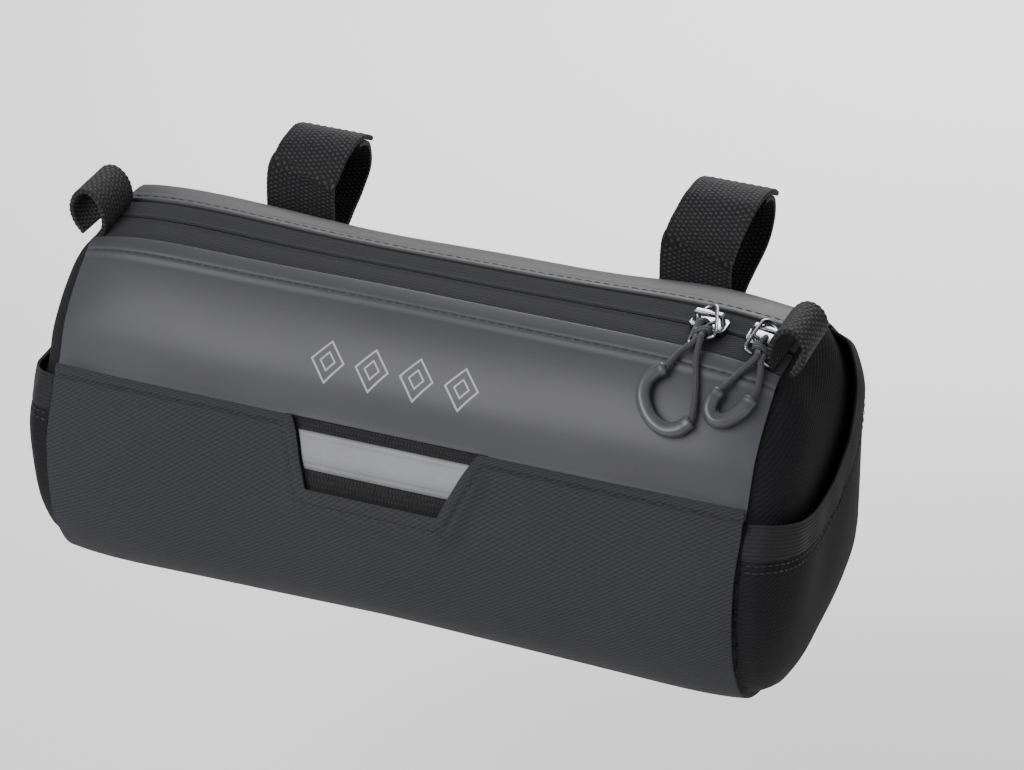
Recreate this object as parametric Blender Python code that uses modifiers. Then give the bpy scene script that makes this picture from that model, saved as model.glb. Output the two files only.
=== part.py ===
"""A soft bag that hangs on a bicycle's handlebar by two straps.

Metres, +Z up. X runs along the handlebar and -Y is the bag's front. The origin is on
the handlebar's axis, over the middle of the bag's length.
"""

import bisect
import math

import bmesh
import bpy
from mathutils import Vector

MM = 0.001

# Cloth, webbing and the clearance between pieces that touch
CLOTH = 1.5 * MM
WEBBING = 1.5 * MM
ELASTIC = 1.2 * MM
GAP = 0.3 * MM
CUT_ROW = 1 * MM

# The handlebar that the straps go round
BAR_RADIUS = 11 * MM
BAR_CLEARANCE = 0.3 * MM

# The main form, measured at its end seams
BAG_LENGTH = 240 * MM
BAG_DEPTH = 97 * MM
BAG_HEIGHT = 114 * MM
CREST_ABOVE_BAR = 3 * MM
EDGE_ROUND = 6 * MM
EDGE_POWER = 9
CROWN = 3 * MM
FOLD_DEPTH = 2 * MM
END_PUFF = 11 * MM
END_POWER = 6
END_RECESS = 0.5 * MM
END_CLEARANCE = 0.9 * MM

# Seams across the front
HEM_WIDTH = 4.5 * MM
HEM_BLEND = 6 * MM
HEM_TUCK = 3.5 * MM

# The window in the lower front and what lies behind it
WINDOW_TOP = 65 * MM
WINDOW_BOTTOM = 46 * MM
WINDOW_DROP = 21 * MM
WINDOW_MARGIN = 2.5 * MM
WINDOW_INSET = 0.9 * MM
STRIP_WIDTH = 11.2 * MM
STRIP_DROP = 4.6 * MM
STRIP_THICKNESS = 0.4 * MM

# The slip pocket on each end
BAND_WIDTH = 11 * MM
BAND_PROUD = 0.4 * MM
BAND_GAP = 1.0 * MM
POCKET_CLEARANCE = 1.4 * MM
POCKET_FULLNESS = 2 * MM
POCKET_START = 24 * MM
POCKET_END = 10 * MM
POCKET_LIMIT = 0.985

# Side loops
LOOP_WIDTH = 20 * MM
LOOP_HEIGHT = 15 * MM
LOOP_REACH = 10.2 * MM
LOOP_SETBACK = 39 * MM

# Straps
STRAP_WIDTH = 25 * MM
STRAP_SPACING = 140 * MM
STRAP_ROOM = 10 * MM
SEWN_TOP = -24 * MM
SEWN_LENGTH = 22 * MM

# Zip, sliders and their tabs
ZIP_SLIT = 0.6 * MM
SLIDER_LENGTH = 12 * MM
SLIDER_WIDTH = 8.5 * MM
SLIDER_TAIL = 5.5 * MM
SLIDER_THICKNESS = 1.9 * MM
BRIDGE_LENGTH = 11 * MM
BRIDGE_WIDTH = 2 * MM
BRIDGE_BAR = 1.2 * MM
BRIDGE_WINDOW = 3 * MM
BRIDGE_FOOT = 0.4 * MM
TAB_EYE = 3.2 * MM
TAB_LENGTH = 12.4 * MM
TAB_WIDTH = 10 * MM
TAB_WIRE = 1.2 * MM
TAB_BAR = 5.6 * MM
TAB_SLOPE = math.radians(12)
TAB_TWIST = math.radians(31)

# Pull cords, their knots and grips
CORD_DIAMETER = 2 * MM
GRIP_DIAMETER = 4.8 * MM
GRIP_WALL = 1.1 * MM
GRIP_HOLD = 3 * MM
GRIP_LIFT = GRIP_DIAMETER / 2 + GAP
PULL_AREA = 40 * MM
PULL_DROP = 24 * MM
STRAND_GAP = 0.1 * MM
KNOT_START = 8.2 * MM
KNOT_LENGTH = 2.3 * MM
KNOT_RISE = 0.8 * MM
KNOT_WALL = 0.7 * MM
KNOT_CLEARANCE = 0.25 * MM
KNOT_POINTS = 16

BAR_TO_BACK = BAR_RADIUS + BAR_CLEARANCE + WEBBING + GAP
HALF = BAG_LENGTH / 2

# The outline at an end seam, from the seam across the front up over the top, down the back
# and under. back and up are shares of BAG_DEPTH and BAG_HEIGHT, rounding a share of
# EDGE_ROUND and crown a share of CROWN.
SECTION = (
    # name, back, up, rounding, crown
    ("mid_seam", 0.122, 0.672, 0.60, 0.8),
    ("front_upper", 0.180, 0.790, 0.80, 1.0),
    ("front_shoulder", 0.278, 0.886, 0.95, 0.8),
    ("front_fold", 0.392, 0.955, 0.95, 0.1),
    ("zip", 0.526, 0.975, 0.80, -0.5),
    ("rear_seam", 0.650, 0.990, 0.60, -0.5),
    ("crest", 0.775, 0.986, 0.50, -0.8),
    ("rear_shoulder", 0.881, 0.927, 0.40, -0.3),
    ("back_top", 0.970, 0.850, 0.25, 0.0),
    ("back_upper", 1.000, 0.730, 0.00, 0.0),
    ("back_high", 1.000, 0.640, 0.00, 0.0),
    ("back_low", 1.000, 0.340, 0.00, 0.0),
    ("back_lower", 1.000, 0.245, 0.00, 0.0),
    ("back_bottom", 0.946, 0.142, 0.30, 0.0),
    ("under_back", 0.760, 0.061, 0.35, 0.1),
    ("under_mid", 0.540, 0.016, 0.35, 0.2),
    ("under_front", 0.330, -0.011, 0.35, -0.1),
    ("toe", 0.142, 0.054, 0.45, -1.0),
    ("lower_front", 0.037, 0.190, 0.55, 0.3),
    ("front_low", 0.005, 0.330, 0.60, 0.9),
    ("front", 0.008, 0.470, 0.60, 1.0),
    ("front_mid", 0.052, 0.575, 0.60, 1.0),
)
SECTION_STEPS = 14

# Soft dents and swellings. along is a share of half the length, around a share of the
# outline from the mid seam up over the top; the reaches are shares of the same lengths, and the
# rise is a share of FOLD_DEPTH.
FOLDS = (
    # name, along, around, reach_along, reach_around, rise
    ("sag_of_the_top", -0.25, 0.24, 0.35, 0.07, -0.65),
    ("strap_pull_right", 0.70, 0.25, 0.22, 0.06, 0.80),
    ("pinch_at_right_seam", 0.97, 0.985, 0.10, 0.03, -0.50),
    ("pinch_at_left_seam", -0.97, 0.985, 0.10, 0.03, -0.50),
    ("slack_of_upper_front", -0.45, 0.075, 0.30, 0.05, -0.40),
    ("belly", 0.05, 0.88, 0.55, 0.09, 0.50),
)

# Where cloth is cut along the length, as shares of half the length
STATIONS = (0.0, 0.2, 0.42, 0.62, 0.78, 0.88, 0.94, 0.975, 1.0)

# The pocket's mouth on an end wall, from the front seam back to the top, and the way down
# from it that the elastic band takes
MOUTH = (
    # back, up, band_back, band_up
    (0.095, 0.632, -0.03, -1.0),
    (0.200, 0.610, 0.00, -1.0),
    (0.340, 0.596, 0.05, -1.0),
    (0.490, 0.614, 0.30, -0.95),
    (0.640, 0.680, 0.62, -0.79),
    (0.745, 0.790, 0.88, -0.47),
    (0.815, 0.880, 0.96, -0.28),
    (0.870, 0.950, 0.86, -0.50),
)

# The side loop's outer line, from its inner foot over the top to its outer foot
LOOP_LINE = (
    # outward, up
    (-0.190, 0.060),
    (-0.330, 0.400),
    (-0.200, 0.760),
    (0.130, 0.960),
    (0.480, 0.890),
    (0.660, 0.620),
    (0.540, 0.320),
    (0.210, 0.060),
)

# The straps' outer lines round the bar, as an angle from the front up over the top and a
# clearance over BAR_RADIUS, a share of STRAP_ROOM. The drift is the lean along the bar, a share
# of the width.
FRONT_LEGS = {
    "strap_left": (
        # angle, clearance, drift
        (0, 0.18, -0.10),
        (30, 0.20, -0.04),
        (60, 0.29, 0.02),
        (90, 0.38, 0.06),
        (112, 0.40, 0.08),
        (132, 0.42, 0.09),
    ),
    "strap_right": (
        (0, 0.18, -0.03),
        (25, 0.32, 0.02),
        (50, 0.60, 0.10),
        (75, 0.92, 0.18),
        (97, 1.06, 0.21),
        (115, 1.12, 0.23),
        (128, 1.10, 0.24),
    ),
}
REAR_LEGS = {
    "strap_hook_left": (
        (255, 0.45, -0.10),
        (220, 0.19, -0.06),
        (180, 0.18, 0.00),
        (140, 0.19, 0.04),
        (112, 0.20, 0.06),
        (92, 0.19, 0.06),
    ),
    "strap_hook_right": (
        (255, 0.48, -0.03),
        (220, 0.26, 0.02),
        (180, 0.36, 0.12),
        (152, 0.62, 0.17),
        (130, 0.86, 0.20),
        (112, 0.91, 0.21),
        (98, 0.85, 0.21),
    ),
}

# The two sliders. place is a share of PULL_AREA, the end of the bag where the pulls lie, and
# hook is the tab's place on the bridge, a share of BRIDGE_LENGTH.
SLIDERS = {
    # place, way of the wide end, hook, the tab's swing along the bag
    "left": (0.295, 1, -0.02, math.radians(10)),
    "right": (0.766, -1, 0.02, math.radians(4)),
}

# A tab's outline below its eye, as shares of TAB_LENGTH and of half TAB_WIDTH
TAB_SIDE = (
    # down, across
    (0.45, 0.84),
    (0.84, 1.00),
    (0.96, 0.93),
    (1.00, 0.74),
)

# The grips and the cord's strands on the front, as shares of PULL_AREA
# along and of PULL_DROP down
GRIPS = {
    "left": ((0.166, 0.31), (0.094, 0.40), (0.052, 0.53), (0.067, 0.72), (0.154, 0.91),
             (0.28, 1.01), (0.397, 0.98), (0.478, 0.86)),
    "right": ((0.628, 0.42), (0.595, 0.55), (0.595, 0.68), (0.646, 0.775), (0.736, 0.75),
              (0.829, 0.59), (0.8725, 0.41)),
}
STRANDS = {
    # along, down, lift as a share of GRIP_LIFT
    "left": (((0.193, 0.20, 1.00), (0.226, 0.08, 0.95)),
             ((0.37, 0.12, 0.95), (0.415, 0.34, 0.70), (0.454, 0.56, 0.75), (0.475, 0.72, 0.95))),
    "right": (((0.664, 0.32, 0.95), (0.724, 0.14, 0.90)),
              ((0.88, 0.10, 1.00), (0.889, 0.28, 0.95))),
}


def mix(a, b, share):
    return a + (b - a) * share


def smooth_step(share):
    share = min(max(share, 0.0), 1.0)
    return share * share * (3 - 2 * share)


def catmull(before, start, end, after, share):
    """One point of a smooth curve between start and end."""
    square = share * share
    cube = square * share
    return tuple(
        0.5 * (2 * s + (e - b) * share + (2 * b - 5 * s + 4 * e - a) * square
               + (3 * s - b - 3 * e + a) * cube)
        for b, s, e, a in zip(before, start, end, after)
    )


def open_curve(points, steps):
    """A smooth curve through an open row of points, with steps to a span."""
    first = tuple(2 * a - b for a, b in zip(points[0], points[1]))
    last = tuple(2 * a - b for a, b in zip(points[-1], points[-2]))
    row = [first, *points, last]
    curve = []
    for i in range(len(points) - 1):
        for step in range(steps):
            curve.append(catmull(*row[i:i + 4], step / steps))
    curve.append(tuple(points[-1]))
    return curve


def back_to_y(share):
    return -BAR_TO_BACK - BAG_DEPTH * (1 - share)


def up_to_z(share):
    return CREST_ABOVE_BAR - BAG_HEIGHT * (1 - share)


class Outline:
    """The bag's closed outline at an end seam, read by the length walked along it."""

    def __init__(self):
        rows = [(back_to_y(back), up_to_z(up), rounding, crown)
                for _, back, up, rounding, crown in SECTION]
        count = len(rows)
        self.points = []
        for i in range(count):
            span = [rows[(i + k) % count] for k in (-1, 0, 1, 2)]
            for step in range(SECTION_STEPS):
                self.points.append(catmull(*span, step / SECTION_STEPS))
        self.walked = [0.0]
        for a, b in zip(self.points, self.points[1:] + self.points[:1]):
            self.walked.append(self.walked[-1] + math.hypot(b[0] - a[0], b[1] - a[1]))
        self.length = self.walked[-1]
        self.named = {row[0]: self.walked[i * SECTION_STEPS] for i, row in enumerate(SECTION)}

    def normal(self, index):
        """The direction out of the bag at a point of the outline."""
        count = len(self.points)
        before = self.points[(index - 1) % count]
        after = self.points[(index + 1) % count]
        across = (before[1] - after[1], after[0] - before[0])
        size = math.hypot(*across)
        return across[0] / size, across[1] / size

    def at(self, walk):
        """Y, Z, the outward normal, the rounding and the crown, at a walked length."""
        walk %= self.length
        index = bisect.bisect_right(self.walked, walk) - 1
        index = min(index, len(self.points) - 1)
        share = (walk - self.walked[index]) / (self.walked[index + 1] - self.walked[index])
        here = self.points[index] + self.normal(index)
        there = self.points[(index + 1) % len(self.points)] + self.normal(index + 1)
        y, z, rounding, crown, out_y, out_z = (mix(a, b, share) for a, b in zip(here, there))
        size = math.hypot(out_y, out_z)
        return y, z, out_y / size, out_z / size, rounding, crown


OUTLINE = Outline()

# The end walls: the middle of their rings, and how those rings step in
END_CENTRE = (back_to_y(0.52), up_to_z(0.48))
END_INSET = CLOTH + END_CLEARANCE
END_POINTS = 32
END_RINGS = (1.0, 0.95, 0.86, 0.7, 0.4)


def fold_rise(x, walk):
    """How far the soft dents and swellings lift the cloth."""
    rise = 0.0
    around = (walk / OUTLINE.length) % 1.0
    for _, along, place, reach_along, reach_around, height in FOLDS:
        off = abs(around - place)
        off = min(off, 1.0 - off)
        rise += FOLD_DEPTH * height * math.exp(-((x / HALF - along) / reach_along) ** 2 - (off / reach_around) ** 2)
    return rise


def skin(x, walk, out=0.0):
    """A point on the bag's cloth, with out metres to the outside."""
    y, z, out_y, out_z, rounding, crown = OUTLINE.at(walk)
    share = min(abs(x) / HALF, 1.0)
    soft = EDGE_ROUND * rounding * (1 - share ** EDGE_POWER) + CROWN * crown * (1 - share ** 2)
    soft += fold_rise(x, walk) * (1 - share ** EDGE_POWER)
    rise = soft + out
    return Vector((x, y + out_y * rise, z + out_z * rise))


def skin_frame(x, walk):
    """A point on the cloth with the directions along the bag, around it and out of it."""
    step = 2 * MM
    along = (skin(x + step, walk) - skin(x - step, walk)).normalized()
    around = (skin(x, walk + step) - skin(x, walk - step)).normalized()
    out = along.cross(around).normalized()
    around = out.cross(along)
    return skin(x, walk), along, around, out


def new_material(name, colour, roughness, metallic=0.0):
    material = bpy.data.materials.new(name)
    material.use_nodes = True
    shader = material.node_tree.nodes["Principled BSDF"]
    shader.inputs["Base Color"].default_value = (*colour, 1.0)
    shader.inputs["Roughness"].default_value = roughness
    shader.inputs["Metallic"].default_value = metallic
    return material


def add_object(name, mesh, material, collection):
    mesh.materials.append(material)
    piece = bpy.data.objects.new(name, mesh)
    collection.objects.link(piece)
    return piece


def grid_mesh(name, columns):
    """A mesh of quads through columns of points, all of one length."""
    build = bmesh.new()
    grid = [[build.verts.new(point) for point in column] for column in columns]
    for left, right in zip(grid, grid[1:]):
        for j in range(len(left) - 1):
            build.faces.new((left[j], right[j], right[j + 1], left[j + 1]))
    mesh = bpy.data.meshes.new(name)
    build.to_mesh(mesh)
    build.free()
    mesh.shade_smooth()
    mesh.set_sharp_from_angle(angle=math.radians(40))
    return mesh


def thicken(piece, thickness):
    """Gives an open sheet its thickness, on the inner side of its faces."""
    wall = piece.modifiers.new("wall", "SOLIDIFY")
    wall.thickness = thickness
    wall.offset = -1.0
    wall.use_even_offset = True


def stations(extra=()):
    """Places along the bag where cloth is cut, with the extra ones put in."""
    places = {side * share * HALF for share in STATIONS for side in (-1, 1)}
    close = 2 * MM
    places = {x for x in places if all(abs(x - other) > close for other in extra)}
    return sorted(places | set(extra))


def window_depth(x):
    """How far the window drops below the hem's line."""
    half_top = WINDOW_TOP / 2
    half_bottom = WINDOW_BOTTOM / 2
    if abs(x) >= half_top:
        return 0.0
    if abs(x) <= half_bottom:
        return WINDOW_DROP
    return WINDOW_DROP * (half_top - abs(x)) / (half_top - half_bottom)


def hem_distance(x, drop):
    """Distance from the lower front's hem to a point, drop below the hem's line."""
    half_top = WINDOW_TOP / 2
    half_bottom = WINDOW_BOTTOM / 2
    x = abs(x)
    corners = ((HALF, 0.0), (half_top, 0.0), (half_bottom, WINDOW_DROP), (0.0, WINDOW_DROP))
    nearest = BAG_LENGTH
    for (x1, d1), (x2, d2) in zip(corners, corners[1:]):
        run_x, run_d = x2 - x1, d2 - d1
        share = ((x - x1) * run_x + (drop - d1) * run_d) / (run_x ** 2 + run_d ** 2)
        share = min(max(share, 0.0), 1.0)
        nearest = min(nearest, math.hypot(x - x1 - run_x * share, drop - d1 - run_d * share))
    return nearest


def hem_rise(x, drop):
    """The hem's step over the upper front, which fades out below it."""
    faded = smooth_step((hem_distance(x, drop) - HEM_WIDTH) / HEM_BLEND)
    return (CLOTH + GAP) * (1 - faded)


def spread(start, end, count):
    return [mix(start, end, i / count) for i in range(count + 1)]


def squared(walks):
    """Walked lengths with a row close inside each cut edge, so that the edge is cut square."""
    return [walks[0], walks[0] + CUT_ROW, *walks[1:-1], walks[-1] - CUT_ROW, walks[-1]]


def cloth(name, places, walks, material, collection, out=None, thickness=CLOTH):
    """A sheet of the bag's cloth. walks gives a column of walked lengths for each place."""
    columns = []
    for x in places:
        column = []
        for walk in squared(walks(x)):
            lift = out(x, walk) if out else 0.0
            column.append(skin(x, walk, lift))
        columns.append(column)
    piece = add_object(name, grid_mesh(name, columns), material, collection)
    thicken(piece, thickness)
    return piece


def make_front_panel(material, collection):
    step = WINDOW_TOP / 2 + WINDOW_MARGIN + GAP
    corners = (step, step + GAP)
    top = OUTLINE.named["front_fold"] - GAP / 2

    def walks(x):
        bottom = -HEM_TUCK if abs(x) >= step + GAP / 2 else 0.0
        return [bottom] + spread(HEM_WIDTH, top, 8)

    places = stations([side * corner for corner in corners for side in (-1, 1)])
    return cloth("front_panel", places, walks, material, collection)


def make_lower_panel(material, collection):
    bottom = OUTLINE.named["back_bottom"] + GAP / 2
    hem_rows = (0.0, HEM_WIDTH, 2 * HEM_WIDTH, 3.4 * HEM_WIDTH, 5 * HEM_WIDTH)

    def walks(x):
        depth = window_depth(x)
        top = OUTLINE.length - depth
        near = [top - row * (1 - depth / (5 * WINDOW_DROP)) for row in hem_rows]
        return spread(bottom, near[-1], 11)[:-1] + near[::-1]

    def rise(x, walk):
        return hem_rise(x, OUTLINE.length - walk)

    half_top, half_bottom = WINDOW_TOP / 2, WINDOW_BOTTOM / 2
    slope = spread(half_bottom, half_top, 3)
    corners = (*slope, half_top + HEM_WIDTH)
    places = stations([side * corner for corner in corners for side in (-1, 1)])
    return cloth("lower_panel", places, walks, material, collection, rise)


def make_back_panel(material, collection):
    rows = ("back_top", "back_upper", "back_high", "back_low", "back_lower", "back_bottom")
    walks = [OUTLINE.named[row] for row in rows]
    walks[0] += GAP / 2
    walks[-1] -= GAP / 2
    walks.insert(1, mix(walks[0], walks[1], 0.5))
    walks.insert(-1, mix(walks[-2], walks[-1], 0.5))
    return cloth("back_panel", stations(), lambda x: walks, material, collection)


def make_top(materials, collection):
    fold = OUTLINE.named["front_fold"] + GAP / 2
    slit = OUTLINE.named["zip"]
    seam = OUTLINE.named["rear_seam"]
    back = OUTLINE.named["back_top"] - GAP / 2
    bands = (
        ("zip_tape_front", fold, slit - ZIP_SLIT / 2, 2, "tape"),
        ("zip_tape_rear", slit + ZIP_SLIT / 2, seam - GAP / 2, 2, "tape"),
        ("rear_top_panel", seam + GAP / 2, back, 6, "coated"),
    )
    for name, start, end, rows, finish in bands:
        walks = spread(start, end, rows)
        cloth(name, stations(), lambda x, walks=walks: walks, materials[finish], collection)


def window_sheet(name, walks, margin, inset, thickness, material, collection):
    """A flat strip behind the window, as wide as the window at each height and a margin."""
    half_top = WINDOW_TOP / 2
    half_bottom = WINDOW_BOTTOM / 2
    columns = []
    for share in spread(-1.0, 1.0, 8):
        column = []
        for walk in walks:
            dropped = min(-walk / WINDOW_DROP, 1.0)
            half = mix(half_top, half_bottom, dropped) + margin
            column.append(skin(share * half, walk, -inset))
        columns.append(column)
    piece = add_object(name, grid_mesh(name, columns), material, collection)
    thicken(piece, thickness)
    return piece


def make_window(materials, collection):
    low = -WINDOW_DROP - WINDOW_MARGIN
    window_sheet("light_webbing", spread(low, -GAP, 5), WINDOW_MARGIN, WINDOW_INSET,
                 WEBBING, materials["webbing"], collection)
    top = -STRIP_DROP
    window_sheet("reflective_strip", spread(top - STRIP_WIDTH, top, 3), -GAP,
                 WINDOW_INSET - GAP - STRIP_THICKNESS, STRIP_THICKNESS,
                 materials["reflective"], collection)


def end_outline(inset, count):
    """Points of an end seam's outline, inset from the cloth's outer side."""
    ring = []
    for i in range(count):
        y, z, out_y, out_z, _, _ = OUTLINE.at(OUTLINE.length * i / count)
        ring.append((y - out_y * inset, z - out_z * inset))
    return ring


def polar_ring():
    """The end seam's outline as angles round its middle with a radius each, past a full turn."""
    ring = [(math.atan2(z - END_CENTRE[1], y - END_CENTRE[0]),
             math.hypot(y - END_CENTRE[0], z - END_CENTRE[1]))
            for y, z in end_outline(END_INSET, 4 * END_POINTS)]
    ring.sort()
    turn = 2 * math.pi
    return [(ring[-1][0] - turn, ring[-1][1]), *ring, (ring[0][0] + turn, ring[0][1])]


END_RING = polar_ring()


def end_share(y, z):
    """How far out from an end wall's middle a point lies, 1 at its seam."""
    dy, dz = y - END_CENTRE[0], z - END_CENTRE[1]
    angle = math.atan2(dz, dy)
    index = max(bisect.bisect_left(END_RING, (angle, 0.0)), 1)
    (a1, r1), (a2, r2) = END_RING[index - 1], END_RING[index]
    return math.hypot(dy, dz) / mix(r1, r2, (angle - a1) / (a2 - a1))


def end_reach(share):
    """How far an end wall stands out past its seam."""
    return END_PUFF * (1 - min(share, 1.0) ** END_POWER) - END_RECESS


def end_panel(name, side, material, collection):
    """An end wall, puffed out, made of rings round its middle."""
    build = bmesh.new()
    outline = end_outline(END_INSET, END_POINTS)
    rings = []
    for share in END_RINGS:
        x = side * (HALF + end_reach(share))
        rings.append([build.verts.new((x, mix(END_CENTRE[0], y, share), mix(END_CENTRE[1], z, share)))
                      for y, z in outline])
    middle = build.verts.new((side * (HALF + end_reach(0.0)), *END_CENTRE))
    for i in range(END_POINTS):
        k = (i + 1) % END_POINTS
        for outer, inner in zip(rings, rings[1:]):
            build.faces.new((outer[i], outer[k], inner[k], inner[i]))
        build.faces.new((rings[-1][i], rings[-1][k], middle))
    if side > 0:
        bmesh.ops.reverse_faces(build, faces=build.faces[:])
    mesh = bpy.data.meshes.new(name)
    build.to_mesh(mesh)
    build.free()
    mesh.shade_smooth()
    piece = add_object(name, mesh, material, collection)
    thicken(piece, CLOTH)
    return piece


def mouth_lines(count):
    """The pocket mouth and the line under its band, as rows of (y, z)."""
    top = [(back_to_y(back), up_to_z(up)) for back, up, _, _ in MOUTH]
    foot = [(back_to_y(back) + across * BAND_WIDTH, up_to_z(up) + down * BAND_WIDTH)
            for back, up, across, down in MOUTH]
    steps = 6
    top, foot = open_curve(top, steps), open_curve(foot, steps)
    last = len(top) - 1
    picks = [round(last * i / count) for i in range(count + 1)]
    return [top[i] for i in picks], [foot[i] for i in picks]


def held_inside(point, limit):
    """A point of an end wall, drawn in to the limit share of its reach."""
    share = end_share(*point)
    if share <= limit:
        return point
    return tuple(mix(c, p, limit / share) for c, p in zip(END_CENTRE, point))


def end_point(side, y, z, out):
    """A point out from an end wall, square to its puffed face."""
    step = 0.5 * MM
    reach = end_reach(end_share(y, z))
    slope_y = (end_reach(end_share(y + step, z)) - end_reach(end_share(y - step, z))) / (2 * step)
    slope_z = (end_reach(end_share(y, z + step)) - end_reach(end_share(y, z - step))) / (2 * step)
    normal = Vector((1.0, -slope_y, -slope_z)).normalized()
    point = Vector((HALF + reach, y, z)) + normal * out
    return Vector((side * point.x, point.y, point.z))


def pocket_point(side, y, z, fullness, proud=0.0):
    """A point of the pocket's outer side, clear of the end wall."""
    return end_point(side, y, z, POCKET_CLEARANCE + CLOTH + fullness + proud)


def patch(name, side, columns, thickness, material, collection):
    if side > 0:
        columns = columns[::-1]
    piece = add_object(name, grid_mesh(name, columns), material, collection)
    thicken(piece, thickness)
    return piece


def side_pocket(name, side, material, collection):
    """The slip pocket: cloth from under its band round to the end seam."""
    count, rows = 18, 5
    foot = mouth_lines(count)[1]
    start = OUTLINE.length - POCKET_START
    end = OUTLINE.named["rear_shoulder"] + POCKET_END
    columns = []
    for i, upper in enumerate(foot):
        share = i / count
        y, z, out_y, out_z, _, _ = OUTLINE.at(mix(start, end, share))
        inset = END_INSET + GAP
        lower = (y - out_y * inset, z - out_z * inset)
        upper = held_inside(upper, POCKET_LIMIT)
        column = []
        for row in range(rows + 1):
            down = row / rows
            place = (mix(upper[0], lower[0], down), mix(upper[1], lower[1], down))
            place = held_inside(place, POCKET_LIMIT)
            full = POCKET_FULLNESS * math.sin(math.pi * share) ** 0.5 * (1 - down ** 2)
            column.append(pocket_point(side, *place, full))
        columns.append(column)
    return patch(name, side, columns, CLOTH, material, collection)


def pocket_band(name, side, material, collection):
    """The elastic along the pocket's mouth, a little proud of the pocket."""
    count = 18
    top, foot = mouth_lines(count)
    columns = []
    for i, (high, low) in enumerate(zip(top, foot)):
        share = i / count
        full = POCKET_FULLNESS * math.sin(math.pi * share) ** 0.5
        gap = BAND_GAP / BAND_WIDTH
        low = tuple(mix(b, a, gap) for a, b in zip(high, low))
        middle = tuple(mix(a, b, 0.5) for a, b in zip(high, low))
        places = [held_inside(place, POCKET_LIMIT) for place in (high, middle, low)]
        columns.append([pocket_point(side, *place, full, BAND_PROUD) for place in places])
    return patch(name, side, columns, ELASTIC, material, collection)


def top_height(y):
    """Height of the end seam's outline on top of the bag, at a place from front to back."""
    start, end = OUTLINE.named["front_shoulder"], OUTLINE.named["rear_shoulder"]
    for walk in spread(start, end, 200):
        point = OUTLINE.at(walk)
        if point[0] >= y:
            return point[1]
    return OUTLINE.at(end)[1]


def side_loop(name, side, material, collection):
    """A folded webbing loop that stands on the top of an end seam."""
    line = open_curve(LOOP_LINE, 3)
    middle = back_to_y(0) + LOOP_SETBACK + LOOP_WIDTH / 2
    level = top_height(middle)
    columns = []
    for share in (-0.5, 0.0, 0.5):
        y = middle + share * LOOP_WIDTH
        columns.append([Vector((side * (HALF + out * LOOP_REACH), y,
                                mix(top_height(y), level, min(up, 1.0)) + up * LOOP_HEIGHT))
                        for out, up in line])
    if side > 0:
        columns = columns[::-1]
    piece = add_object(name, grid_mesh(name, columns), material, collection)
    thicken(piece, WEBBING)
    return piece


def strap(name, side, foot, line, from_behind, material, collection):
    """Webbing whose outer side follows a line of (y, z, drift), its inner side to the bar."""
    curve = foot[:1] + open_curve(foot[1:] + line, 4)
    middle = side * STRAP_SPACING / 2
    columns = []
    for share in (-0.5, 0.5):
        columns.append([Vector((middle + (share + drift) * STRAP_WIDTH, y, z))
                        for y, z, drift in curve])
    if from_behind:
        columns.reverse()
    piece = add_object(name, grid_mesh(name, columns), material, collection)
    thicken(piece, WEBBING)
    return piece


def round_bar(rows):
    """Rows of angle, clearance and drift as rows of y, z and drift."""
    line = []
    for angle, clearance, drift in rows:
        reach = BAR_RADIUS + clearance * STRAP_ROOM
        turn = math.radians(angle)
        line.append((-reach * math.cos(turn), reach * math.sin(turn), drift))
    return line


def make_straps(material, collection):
    front_y = -BAR_TO_BACK + GAP
    rear_y = front_y + WEBBING + GAP + WEBBING
    low = SEWN_TOP - SEWN_LENGTH
    for side, word in ((-1, "left"), (1, "right")):
        front = FRONT_LEGS["strap_" + word]
        rear = REAR_LEGS["strap_hook_" + word]
        foot = [(front_y, low, front[0][2]), (front_y, SEWN_TOP, front[0][2])]
        strap("strap_" + word, side, foot, round_bar(front), False, material, collection)
        foot = [(rear_y, low, rear[0][2]), (rear_y, SEWN_TOP, rear[0][2])]
        strap("strap_hook_" + word, side, foot, round_bar(rear), True, material, collection)


def prism(name, corners, low, high, place):
    """A closed body with a flat outline of corners, between two heights. place maps its points."""
    build = bmesh.new()
    floor = [build.verts.new(place(a, b, low)) for a, b in corners]
    roof = [build.verts.new(place(a, b, high)) for a, b in corners]
    build.faces.new(floor[::-1])
    build.faces.new(roof)
    for i in range(len(corners)):
        k = (i + 1) % len(corners)
        build.faces.new((floor[i], floor[k], roof[k], roof[i]))
    bmesh.ops.recalc_face_normals(build, faces=build.faces[:])
    mesh = bpy.data.meshes.new(name)
    build.to_mesh(mesh)
    build.free()
    return mesh


def wire_mesh(name, points, radius, cyclic=False, capped=True):
    """The mesh of a round wire through points."""
    curve = wire_curve(name, points, radius, cyclic, capped)
    piece = bpy.data.objects.new(name, curve)
    bpy.context.scene.collection.objects.link(piece)
    mesh = bpy.data.meshes.new_from_object(piece.evaluated_get(bpy.context.evaluated_depsgraph_get()))
    bpy.data.objects.remove(piece)
    build = bmesh.new()
    build.from_mesh(mesh)
    bmesh.ops.remove_doubles(build, verts=build.verts[:], dist=0.001 * MM)
    build.to_mesh(mesh)
    build.free()
    return mesh


def wire_curve(name, points, radius, cyclic=False, capped=True):
    curve = bpy.data.curves.new(name, "CURVE")
    curve.dimensions = "3D"
    curve.bevel_depth = radius
    curve.bevel_resolution = 2
    curve.use_fill_caps = capped
    spline = curve.splines.new("POLY")
    spline.points.add(len(points) - 1)
    for place, point in zip(spline.points, points):
        place.co = (*point, 1.0)
    spline.use_cyclic_u = cyclic
    return curve


def joined(piece, mesh, cutters):
    """Joins a mesh to a piece, as one body."""
    other = bpy.data.objects.new(mesh.name, mesh)
    other.display_type = "WIRE"
    cutters.objects.link(other)
    join = piece.modifiers.new("join", "BOOLEAN")
    join.operation = "UNION"
    join.solver = "EXACT"
    join.object = other


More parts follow.
